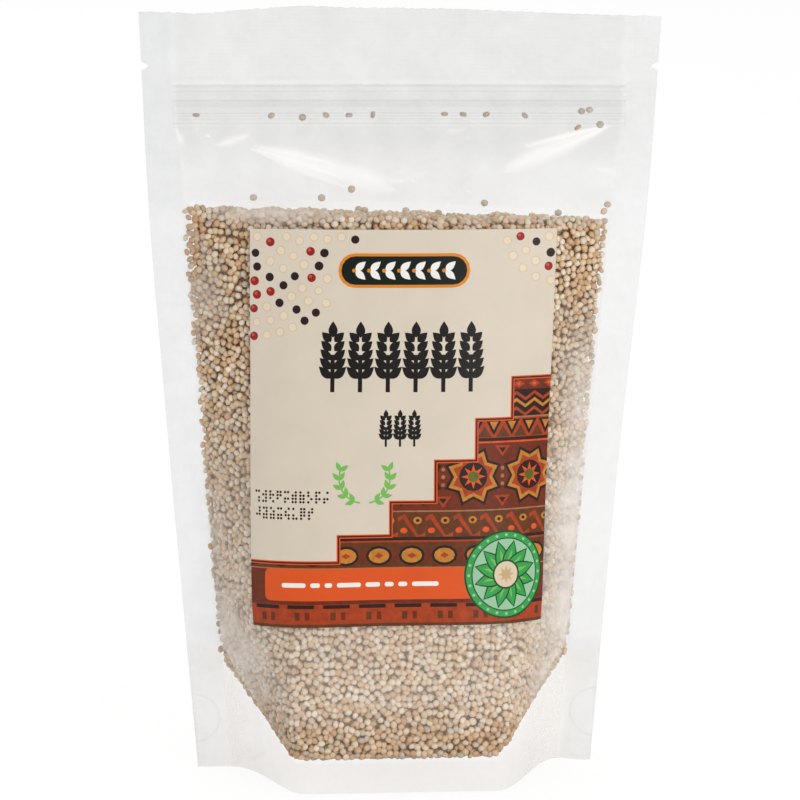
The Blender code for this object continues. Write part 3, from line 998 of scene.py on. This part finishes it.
def makeLooseSeeds(kindName, wanted):
    points, faces, rims, tones = [], [], [], []
    shape = fineSeed.data
    corners = np.array([v.co for v in shape.vertices]) / mm
    rim = [value.value for value in shape.attributes["rim"].data]
    face = np.array(Vector((0.0, -1.0, 0.0)).to_track_quat("Z", "Y").to_matrix())
    for count, (x, z, lean, spin, kind, side) in enumerate(looseSeeds):
        if kind != wanted:
            continue
        y = float(midY(x, z)) - 0.3
        if side < 0:
            y = float(frontY(x, z)) + 0.95
        elif side > 0:
            y = float(backY(x, z)) - 0.95
        tilt, around = math.radians(lean), math.radians(spin)
        tip = ((1, 0, 0), (0, math.cos(tilt), -math.sin(tilt)), (0, math.sin(tilt), math.cos(tilt)))
        roll = ((math.cos(around), -math.sin(around), 0), (math.sin(around), math.cos(around), 0), (0, 0, 1))
        start = len(points)
        placed = corners @ (face @ np.array(roll) @ np.array(tip)).T + np.array((x, y, z))
        points += placed.tolist()
        faces += [tuple(start + v for v in polygon.vertices) for polygon in shape.polygons]
        rims += rim
        tones += [(count * 0.37) % 1.0] * len(corners)
    mesh = newMesh("loose" + kindName[:1].upper() + kindName[1:], points, faces, seedFinish[kindName])
    pointValues(mesh, "rim", rims)
    pointValues(mesh, "tone", tones)
    return newObject(mesh.name, mesh)


for kind, kindName in enumerate(seedKinds):
    if any(seed[4] == kind for seed in looseSeeds):
        grainPieces.append(makeLooseSeeds(kindName, kind))
bpy.data.objects.remove(fineSeed)
print("loose seeds:", len(looseSeeds))

# The label: its size and place, and its print in millimetres across and down from its top left corner
label = {
    "width": 83.4,
    "height": 106.3,
    "top": 150.6,
    "centre": 1.7,
    "edgeDrops": ((45, 1.4), (150, 0.5)),
    "gap": 0.45,
    "thickness": 0.2,
    "meshStep": 3.4,
    "backTone": (236, 231, 222),
    # The stretch of the front that the label may cover: lowest and highest, and to either side
    "frontHeights": (38.0, 153.0),
    "frontReach": 44.0,
}
inks = {
    "cream": (213, 201, 184), "black": (24, 20, 18), "dark": (42, 23, 16), "brown": (98, 52, 24),
    "maroon": (108, 42, 20), "rust": (164, 62, 26), "orange": (216, 84, 30), "ochre": (190, 124, 46),
    "tan": (162, 112, 72), "olive": (96, 100, 32), "green": (50, 156, 72), "deepGreen": (16, 70, 38),
    "mint": (150, 192, 156), "leaf": (118, 180, 86), "plate": (12, 22, 17), "border": (214, 132, 34),
    "white": (236, 233, 228), "seedCream": (214, 197, 168), "seedRim": (190, 164, 124),
    "red": (150, 32, 30), "pink": (194, 82, 70), "berry": (44, 22, 25), "paleRim": (214, 186, 150),
    "paleSeed": (224, 210, 186),
}
prints = []


def stamp(ink, outline, onCloth=False):
    prints.append((ink, np.array(outline, float), onCloth))


def disc(x, y, across, up=None, sides=14):
    up = across if up is None else up
    angles = [math.tau * i / sides for i in range(sides)]
    return [(x + across * math.cos(angle), y + up * math.sin(angle)) for angle in angles]


def bar(left, top, right, bottom, corner=0.0):
    if corner <= 0.0:
        return [(left, top), (right, top), (right, bottom), (left, bottom)]
    outline = []
    for cx, cy, first in ((right - corner, top + corner, -90), (right - corner, bottom - corner, 0),
                          (left + corner, bottom - corner, 90), (left + corner, top + corner, 180)):
        for i in range(5):
            angle = math.radians(first + 22.5 * i)
            outline.append((cx + corner * math.cos(angle), cy + corner * math.sin(angle)))
    return outline


def blade(x, y, length, width, turn, sides=7):
    # A pointed leaf from its foot at x, y
    c, s = math.cos(math.radians(turn)), math.sin(math.radians(turn))
    outline = []
    for side in (1.0, -1.0):
        for i in range(sides):
            t = i / sides if side > 0 else 1.0 - i / sides
            u, v = length * t, side * 0.5 * width * math.sin(math.pi * t ** 0.8)
            outline.append((x + u * c - v * s, y + u * s + v * c))
    return outline


def stroke(points, width):
    # A line of some width along the points
    points = np.array(points, float)
    run = np.gradient(points, axis=0)
    run /= np.linalg.norm(run, axis=1)[:, None]
    side = np.stack((-run[:, 1], run[:, 0]), 1) * width * 0.5
    return np.concatenate((points + side, (points - side)[::-1]))


def diamond(x, y, across, up):
    return [(x + across, y), (x, y + up), (x - across, y), (x, y - up)]


def star(x, y, across, inner, points, turn=0.0):
    outline = []
    for i in range(points * 2):
        angle = math.radians(turn) + math.pi * i / points
        far = across * (inner if i % 2 else 1.0)
        outline.append((x + far * math.cos(angle), y + far * math.sin(angle)))
    return outline


# The woven field's upper edge climbs to the right in steps
clothEdge = ((83.4, 40.0), (72.0, 40.0), (72.0, 51.0), (62.0, 51.0), (62.0, 62.0), (51.0, 62.0), (51.0, 73.0),
             (39.0, 73.0), (39.0, 82.0), (25.0, 82.0), (25.0, 89.0), (0.0, 89.0))
clothField = (*clothEdge, (0.0, label["height"]), (label["width"], label["height"]))


def weave(ink, outline):
    stamp(ink, outline, True)


def stampCloth():
    # Bands of woven motifs, cut off by the field's stepped edge
    stamp("brown", clothField)
    edgeX, edgeY = zip(*clothEdge)

    def left(y):
        return float(np.interp(y, edgeY, edgeX)) - 2.0

    def band(ink, top, bottom):
        weave(ink, bar(left(bottom), top, label["width"], bottom))

    def repeat(pitch, bottom, first=0.0):
        x = 84.0 - first
        while x > left(bottom) - pitch * 0.5:
            yield x
            x -= pitch

    band("maroon", 40.0, 43.2)
    for x in repeat(4.6, 43.2, 1.0):
        weave("rust", diamond(x, 41.7, 1.7, 1.1))
        weave("orange", diamond(x, 41.7, 0.7, 0.45))
    band("dark", 43.2, 50.4)
    for x in repeat(5.4, 50.4):
        for lift, ink in ((0.0, "rust"), (2.3, "ochre"), (4.2, "rust")):
            weave(ink, [(x - 2.7, 49.6 - lift), (x, 47.8 - lift), (x + 2.7, 49.6 - lift),
                        (x + 2.7, 50.5 - lift), (x, 48.7 - lift), (x - 2.7, 50.5 - lift)])
    band("tan", 50.4, 50.8)
    band("rust", 50.8, 56.0)
    for x in repeat(5.2, 56.0, 1.6):
        weave("dark", [(x - 2.3, 51.2), (x + 2.3, 51.2), (x, 55.4)])
        weave("ochre", [(x - 1.2, 51.7), (x + 1.2, 51.7), (x, 54.0)])
        weave("brown", [(x + 0.6, 55.8), (x + 4.6, 55.8), (x + 2.6, 52.8)])
    band("dark", 56.0, 56.9)
    band("orange", 56.9, 57.4)
    band("maroon", 57.4, 75.2)
    for x in repeat(16.4, 75.2, 6.4):
        for ink, reach, inner in (("dark", 8.4, 0.72), ("ochre", 7.3, 0.72), ("rust", 5.9, 0.74)):
            weave(ink, star(x, 66.3, reach, inner, 8, 22.5))
        weave("dark", disc(x, 66.3, 3.9, sides=16))
        weave("orange", star(x, 66.3, 3.4, 0.45, 8))
        weave("olive", disc(x, 66.3, 1.5, sides=12))
        for level in (59.6, 73.0):
            weave("rust", [(x + 6.0, level - 1.5), (x + 10.4, level - 1.5), (x + 8.2, level + 1.5)])
            weave("dark", [(x + 7.2, level - 0.9), (x + 9.2, level - 0.9), (x + 8.2, level + 0.5)])
        for level in (64.2, 66.3, 68.4):
            weave("tan", disc(x + 8.2, level, 0.55, sides=8))
    band("tan", 75.2, 75.6)
    band("brown", 75.6, 82.4)
    for x in repeat(7.4, 82.4, 2.4):
        weave("rust", [(x - 3.7, 77.0), (x - 1.9, 76.0), (x, 79.0), (x + 1.8, 82.0), (x + 3.7, 81.0),
                       (x + 3.7, 82.2), (x + 1.2, 82.3), (x - 1.0, 79.4), (x - 2.4, 77.4), (x - 3.7, 78.2)])
        weave("ochre", disc(x + 1.6, 77.9, 1.2, 1.0, sides=10))
        weave("dark", disc(x + 1.6, 77.9, 0.5, 0.45, sides=8))
        weave("orange", disc(x - 2.1, 80.6, 1.0, 0.8, sides=10))
    band("dark", 82.4, 83.2)
    band("rust", 83.2, 83.7)
    for x in repeat(8.8, 91.0, 4.2):
        weave("dark", disc(x, 87.3, 3.5, 2.7, sides=12))
        weave("ochre", disc(x, 87.3, 2.8, 2.0, sides=12))
        weave("rust", diamond(x, 87.3, 1.2, 0.8))
        weave("maroon", disc(x + 4.4, 87.3, 0.8, 2.4, sides=10))
    band("tan", 90.4, 90.7)
    band("maroon", 90.7, 100.2)
    band("rust", 100.2, 106.3)
    for x in repeat(9.6, 106.3, 2.0):
        weave("dark", bar(x - 3.6, 100.3, x + 3.6, 101.3))
        weave("brown", bar(x - 1.6, 102.3, x - 0.2, 104.4))
        weave("maroon", bar(x + 1.2, 102.3, x + 2.4, 104.4))
    weave("brown", bar(0.0, 105.5, label["width"], label["height"]))
    for ink, half in (("orange", 0.5), ("dark", 0.2)):
        for (ax, ay), (bx, by) in zip(clothEdge, clothEdge[1:]):
            stamp(ink, bar(min(ax, bx) - half, min(ay, by) - half, max(ax, bx) + half, max(ay, by) + half))


def stampBeads():
    # Rows of round beads that fan out of the two upper corners
    rng = random.Random(12)
    for corner, count in ((0.0, 8), (label["width"], 4)):
        for row in range(count):
            reach = 3.0 + 3.7 * row
            beads = int(0.5 * math.pi * reach / 3.7)
            for i in range(beads):
                angle = 0.5 * math.pi * (i + 0.5 + 0.2 * (row % 2)) / beads
                x, y = abs(corner - reach * math.cos(angle)), reach * math.sin(angle)
                if 23.0 < x < 61.0 and 5.0 < y < 17.0:
                    continue
                size = rng.uniform(1.12, 1.28)
                pick = rng.random()
                if pick < 0.26:
                    stamp("red", disc(x, y, size))
                    stamp("pink", disc(x - 0.3, y - 0.35, size * 0.36, sides=9))
                elif pick < 0.5:
                    stamp("berry", disc(x, y, size))
                else:
                    stamp("paleRim", disc(x, y, size * 1.06))
                    stamp("paleSeed", disc(x, y, size * 0.84, sides=12))


def stampEar(x, foot, height, scale):
    # A drawn ear of grain: a stem and paired seeds that close in to the tip
    stamp("black", stroke([(x, foot), (x, foot - height * 0.55)], 1.15 * scale))
    for i in range(5):
        y = foot - height * (0.2 + 0.135 * i)
        length = (4.6 - 0.25 * i) * scale
        for side in (-1, 1):
            stamp("black", blade(x + side * 0.4 * scale, y, length, 2.35 * scale, -90 + side * 46))
    stamp("black", blade(x, foot - height * 0.8, 4.4 * scale, 2.5 * scale, -90))


def stampRosette():
    x, y, r = 70.6, 93.0, 11.9
    stamp("deepGreen", disc(x, y, r, sides=48))
    stamp("green", disc(x, y, r - 0.5, sides=48))
    stamp("deepGreen", disc(x, y, r - 2.0, sides=44))
    stamp("mint", disc(x, y, r - 2.3, sides=44))
    for i in range(24):
        angle = math.radians(15 * i)
        stamp("mint", disc(x + (r - 1.25) * math.cos(angle), y + (r - 1.25) * math.sin(angle), 0.42, sides=8))
    for i in range(12):
        turn = 30 * i + 15
        stamp("deepGreen", blade(x, y, r - 2.5, 4.4, turn, 9))
        stamp("green", blade(x, y, r - 3.0, 3.6, turn, 9))
        stamp("leaf", blade(x, y, r - 5.0, 1.2, turn, 6))
    stamp("deepGreen", disc(x, y, 4.0, sides=24))
    stamp("seedCream", disc(x, y, 3.5, sides=24))
    stamp("seedRim", star(x, y, 2.4, 0.5, 8))


def stampBanner():
    # An orange bar with a row of white dashes
    stamp("orange", bar(4.6, 90.6, 66.0, 99.2, 1.6))
    x = 9.6
    for length in (6.6, 2.6, 2.0, 6.4, 3.9, 2.4, 2.4, 7.2):
        stamp("white", bar(x, 94.4, x + length, 95.6, 0.55))
        x += length + 1.25


def stampSprig():
    # Two leafy twigs that open upwards
    bends = np.linspace(0.1, 2.0, 16)
    for side in (-1, 1):
        twig = [(32.0 + side * (0.6 + 6.2 * math.sin(a)), 66.4 + 6.6 * math.cos(a)) for a in bends]
        stamp("leaf", stroke(twig, 0.45))
        for k in range(2, 15, 3):
            (ax, ay), (bx, by) = twig[k - 1], twig[k + 1]
            heading = math.degrees(math.atan2(by - ay, bx - ax))
            for lean in (-38, 38):
                stamp("leaf", blade(*twig[k], 2.7, 1.3, heading + lean, 6))


def stampDots():
    # Two rows of little dot blocks that spell nothing
    rng = random.Random(5)
    for top, count, start in ((69.8, 10, 1.9), (74.2, 8, 2.1)):
        for i in range(count):
            for column in range(2):
                for row in range(4):
                    if rng.random() < 0.74:
                        place = (start + i * 2.15 + column * 0.85, top + 0.4 + row * 0.86)
                        stamp("black", disc(*place, 0.36, sides=7))


def stampPlate():
    left, top, right, bottom = 24.4, 6.3, 59.6, 15.5
    stamp("border", bar(left, top, right, bottom, 4.4))
    stamp("plate", bar(left + 0.8, top + 0.8, right - 0.8, bottom - 0.8, 3.7))
    middle = (top + bottom) * 0.5
    for i in range(7):
        x = left + 4.6 + i * 4.0
        for side in (-1, 1):
            stamp("white", blade(x, middle, 3.6, 1.9, side * 42, 8))
        stamp("border", disc(x - 0.4, middle, 0.55, sides=8))


def trim(outline):
    # Cuts an outline to the label's own rectangle, one side after another
    for axis, limit, sign in ((0, 0.0, 1), (0, label["width"], -1), (1, 0.0, 1), (1, label["height"], -1)):
        kept = []
        for a, b in zip(outline, np.roll(outline, -1, axis=0)):
            insideA = sign * (a[axis] - limit) >= 0.0
            insideB = sign * (b[axis] - limit) >= 0.0
            if insideA:
                kept.append(a)
            if insideA != insideB:
                kept.append(a + (b - a) * (limit - a[axis]) / (b[axis] - a[axis]))
        if len(kept) < 3:
            return None
        outline = np.array(kept)
    return outline


def split(outline, step):
    # Cuts long sides into short ones, so that they can follow the pouch's curve
    points = []
    for a, b in zip(outline, np.roll(outline, -1, axis=0)):
        count = max(1, int(math.ceil(float(np.hypot(*(b - a))) / step)))
        points += [a + (b - a) * i / count for i in range(count)]
    return np.array(points)


def inside(points, outline):
    result = np.zeros(len(points), bool)
    for (ax, ay), (bx, by) in zip(outline, np.roll(outline, -1, axis=0)):
        if ay == by:
            continue
        crosses = (points[:, 1] < ay) != (points[:, 1] < by)
        reach = (bx - ax) * (points[:, 1] - ay) / (by - ay) + ax
        result ^= crosses & (points[:, 0] < reach)
    return result


def labelMap():
    # Tables from millimetres on the flat label to a place on the pouch's front
    low, high = label["frontHeights"]
    z = np.arange(label["top"], low, -0.05)
    y = frontY(0.0 * z, z)
    down = np.concatenate(([0.0], np.cumsum(np.hypot(np.diff(z), np.diff(y)))))
    heights = np.linspace(low, high, 90)
    arcs = np.linspace(-label["frontReach"], label["frontReach"], 89)
    offsets = np.arange(-56.0, 56.001, 0.1)
    table = np.zeros((len(heights), len(arcs)))
    for i, height in enumerate(heights):
        x = centreX(height) + label["centre"] + offsets
        run = np.hypot(np.diff(x), np.diff(frontY(x, height)))
        arc = np.concatenate(([0.0], np.cumsum(run)))
        arc -= arc[len(offsets) // 2]
        table[i] = np.interp(arcs, arc, x)
    return z, down, heights, arcs, table


def labelPoints(flat, offset, tables):
    z, down, heights, arcs, table = tables
    middle = np.interp(flat[:, 1], down, z)
    across = flat[:, 0] / label["width"] - 0.5
    level = middle - along(label["edgeDrops"], middle) * (2.0 * across) ** 2
    arc = across * label["width"]
    row = np.clip((level - heights[0]) / (heights[1] - heights[0]), 0, len(heights) - 1.001)
    column = np.clip((arc - arcs[0]) / (arcs[1] - arcs[0]), 0, len(arcs) - 1.001)
    r, c = row.astype(int), column.astype(int)
    u, v = row - r, column - c
    x = ((table[r, c] * (1 - v) + table[r, c + 1] * v) * (1 - u)
         + (table[r + 1, c] * (1 - v) + table[r + 1, c + 1] * v) * u)
    slopeX, slopeZ = slopes(frontY, x, level, 0.1)
    normal = np.stack((slopeX, -np.ones_like(x), slopeZ), 1)
    normal /= np.linalg.norm(normal, axis=1)[:, None]
    return np.stack((x, frontY(x, level), level), 1) + normal * offset, normal


def makeLabel(material):
    corners = [(0.0, 0.0), (label["width"], 0.0), (label["width"], label["height"]), (0.0, label["height"])]
    vertices, edges, shapes = [], [], []
    step = label["meshStep"]
    for ink, outline, onCloth in [("cream", np.array(corners), False)] + prints:
        outline = trim(outline)
        if outline is None:
            continue
        shapes.append((ink, outline, onCloth))
        start = len(vertices)
        bent = split(outline, step)
        vertices += [Vector((float(u), float(v))) for u, v in bent]
        edges += [(start + i, start + (i + 1) % len(bent)) for i in range(len(bent))]
    for i in range(1, int(label["width"] / step) + 1):
        for k in range(1, int(label["height"] / step) + 1):
            u, v = (i - 0.5 * (k % 2)) * step, (k - 0.3) * step
            if u < label["width"] - 0.6 and v < label["height"] - 0.6:
                vertices.append(Vector((u, v)))
    made = delaunay_2d_cdt(vertices, edges, [], 0, 1e-4)
    flat = np.array([tuple(v) for v in made[0]])
    triangles = np.array([tuple(f) for f in made[2] if len(f) == 3])
    a, b, c = (flat[triangles[:, i]] for i in range(3))
    area = (b[:, 0] - a[:, 0]) * (c[:, 1] - a[:, 1]) - (b[:, 1] - a[:, 1]) * (c[:, 0] - a[:, 0])
    triangles = triangles[np.abs(area) > 1e-9]
    flip = area[np.abs(area) > 1e-9] < 0.0
    triangles[flip] = triangles[flip][:, ::-1]
    centres = flat[triangles].mean(axis=1)
    names = list(inks)
    chosen = np.zeros(len(triangles), int)
    onField = inside(centres, np.array(clothField))
    isCloth = np.zeros(len(triangles))
    for ink, outline, onCloth in shapes:
        low, high = outline.min(axis=0), outline.max(axis=0)
        near = np.all((centres >= low) & (centres <= high), axis=1)
        if onCloth:
            near &= onField
        picked = np.flatnonzero(near)
        picked = picked[inside(centres[picked], outline)]
        chosen[picked] = names.index(ink)
        isCloth[picked] = 1.0 if onCloth or ink == "brown" else 0.0
    colours = np.array([rgba(*inks[name]) for name in names])[chosen]

    tables = labelMap()
    outer, normals = labelPoints(flat, label["gap"] + label["thickness"], tables)
    innerFace, _ = labelPoints(flat, label["gap"], tables)
    count = len(flat)
    sides = {}
    for triangle in triangles.tolist():
        for i in range(3):
            edge = (triangle[i], triangle[(i + 1) % 3])
            if (edge[1], edge[0]) in sides:
                del sides[(edge[1], edge[0])]
            else:
                sides[edge] = True
    # Down is positive on the flat label, so a triangle that turns one way there faces the other way in space.
    faces = triangles[:, ::-1].tolist() + (triangles + count).tolist()
    faces += [(p, q, q + count, p + count) for p, q in sides]
    mesh = newMesh("frontLabel", np.concatenate((outer, innerFace)), faces, material)
    hidden = len(triangles) + len(sides)
    ink = np.concatenate((colours, np.tile(rgba(*label["backTone"]), (hidden, 1))))
    onCloth = np.concatenate((isCloth, np.zeros(hidden)))
    loops = np.array([polygon.loop_total for polygon in mesh.polygons])
    layer = mesh.attributes.new("printColour", "FLOAT_COLOR", "CORNER")
    layer.data.foreach_set("color", np.repeat(ink, loops, axis=0).astype(np.float32).ravel())
    layer = mesh.attributes.new("clothPrint", "FLOAT", "CORNER")
    layer.data.foreach_set("value", np.repeat(onCloth, loops).astype(np.float32))
    both = np.concatenate((normals, -normals))
    uv = mesh.uv_layers.new(name="flatLabel")
    corner = np.zeros(len(mesh.loops), int)
    mesh.loops.foreach_get("vertex_index", corner)
    uv.data.foreach_set("uv", (np.concatenate((flat, flat))[corner] / 100.0).astype(np.float32).ravel())
    smoothFaces = np.arange(len(mesh.polygons)) < 2 * len(triangles)
    mesh.polygons.foreach_set("use_smooth", smoothFaces)
    mesh.normals_split_custom_set(both[corner].tolist())
    return newObject("frontLabel", mesh)


def labelMaterial():
    material, tree = newMaterial("labelPaper")
    flat = addNode(tree, "ShaderNodeUVMap", uv_map="flatLabel").outputs[0]
    paperGain = remap(tree, noise(tree, flat, 9.0, 3.0), 0.3, 0.7, 0.965, 1.02)
    clothGain = remap(tree, noise(tree, flat, 42.0, 5.0, 0.65), 0.3, 0.7, 0.72, 1.2)
    shares = {0: attribute(tree, "clothPrint"), 2: paperGain, 3: clothGain}
    gain = addNode(tree, "ShaderNodeMix", shares, data_type="FLOAT").outputs[0]
    ink = attribute(tree, "printColour", "Color")
    colour = addNode(tree, "ShaderNodeVectorMath", {0: ink, "Scale": gain}, operation="SCALE").outputs[0]
    fibre = bumped(tree, noise(tree, flat, 260.0, 3.0), 0.12, 0.00015)
    showSurface(tree, addNode(tree, "ShaderNodeBsdfPrincipled", {
        "Base Color": colour, "Roughness": 0.45, "Specular IOR Level": 0.2, "Normal": fibre,
    }))
    return material


stampBeads()
stampCloth()
stampPlate()
for i in range(6):
    stampEar(23.2 + i * 7.4, 43.4, 18.2, 1.0)
for i in range(3):
    stampEar(37.6 + i * 3.8, 58.0, 9.6, 0.52)
stampSprig()
stampDots()
stampBanner()
stampRosette()
frontLabel = makeLabel(labelMaterial())
print("label:", len(prints), "shapes,", len(frontLabel.data.polygons), "faces")

for piece, node, slot in ((pouchFilm, "pouch", "clear_film"), (pressZip, "zip", "zip_plastic"),
                          (frontLabel, "label", "label_paper")):
    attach(piece, "root")
    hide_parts(node)
for piece in grainPieces:
    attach(piece, "root")

# The stage: a white floor that runs off behind, soft light and the camera
stage = {
    "floorHalf": 3.2,
    "floorTone": (250, 250, 250),
    "floorGlow": 1.04,
    "floorGlowShare": 0.85,
    "worldSeen": 1.0,
    "worldLight": 0.5,
    "distance": 1.40,
    "elevation": 11.0,
    "aim": (0.0, 0.0, 0.10185),
    "floorLevel": -0.2,
    "lens": 231.84,
}
white = (1.0, 1.0, 1.0, 1.0)
# Soft lamps: place, aim, size across, watts and colour
lamps = {
    "keyLight": ((1.15, -1.45, 0.65), (0.0, 0.0, 0.08), 0.9, 16.6, (1.0, 0.988, 0.972)),
    "fillLight": ((-1.7, -0.45, 0.4), (0.0, 0.0, 0.05), 1.2, 6.6, (0.988, 0.992, 1.0)),
    "topLight": ((0.1, 0.35, 1.7), (0.0, 0.0, 0.05), 1.3, 8.0, (1.0, 1.0, 1.0)),
    "backLight": ((-0.5, 1.7, 0.8), (0.0, 0.0, 0.1), 1.0, 2.5, (1.0, 1.0, 1.0)),
}


def makeFloor():
    half = stage["floorHalf"] / mm
    square = ((-1, -1), (1, -1), (1, 1), (-1, 1))
    corners = [(side * half, end * half, stage["floorLevel"]) for side, end in square]
    mesh = newMesh("floor", corners, [(0, 1, 2, 3)], None)
    material, tree = newMaterial("paleFloor")
    seen = addNode(tree, "ShaderNodeLightPath").outputs["Is Camera Ray"]
    matt = addNode(tree, "ShaderNodeBsdfDiffuse", {"Color": rgba(*stage["floorTone"])})
    bright = addNode(tree, "ShaderNodeEmission", {"Color": white, "Strength": stage["floorGlow"]})
    share = maths(tree, "MULTIPLY", seen, stage["floorGlowShare"])
    mix = addNode(tree, "ShaderNodeMixShader", {0: share, 1: matt.outputs[0], 2: bright.outputs[0]})
    showSurface(tree, mix)
    mesh.materials.append(material)
    floor = newObject("floor", mesh)


def makeWorld():
    world = bpy.data.worlds.new("softRoom")
    bpy.context.scene.world = world
    world.use_nodes = True
    tree = world.node_tree
    tree.nodes.clear()
    seen = addNode(tree, "ShaderNodeLightPath").outputs["Is Camera Ray"]
    strength = addNode(tree, "ShaderNodeMix", {0: seen, 2: stage["worldLight"], 3: stage["worldSeen"]},
                       data_type="FLOAT").outputs[0]
    sky = addNode(tree, "ShaderNodeBackground", {"Color": white, "Strength": strength})
    addNode(tree, "ShaderNodeOutputWorld", {"Surface": sky.outputs[0]})


def aimAlong(piece, place, look):
    piece.location = place
    piece.rotation_euler = look.to_track_quat("-Z", "Y").to_euler()


def makeLamps():
    for name, (place, aim, size, watts, colour) in lamps.items():
        light = bpy.data.lights.new(name, "AREA")
        light.size = size
        light.energy = watts
        light.color = colour
        aimAlong(newObject(name, light), Vector(place), Vector(aim) - Vector(place))


def makeCamera():
    data = bpy.data.cameras.new("camera")
    data.lens = stage["lens"]
    data.sensor_width = 36.0
    data.clip_start, data.clip_end = 0.1, 50.0
    camera = newObject("camera", data)
    angle = math.radians(stage["elevation"])
    look = Vector((0.0, math.cos(angle), -math.sin(angle)))
    aimAlong(camera, Vector(stage["aim"]) - look * stage["distance"], look)
    bpy.context.scene.camera = camera


makeFloor()
makeWorld()
makeLamps()
makeCamera()
bpy.context.scene.view_settings.view_transform = "Standard"
print("stage is set")
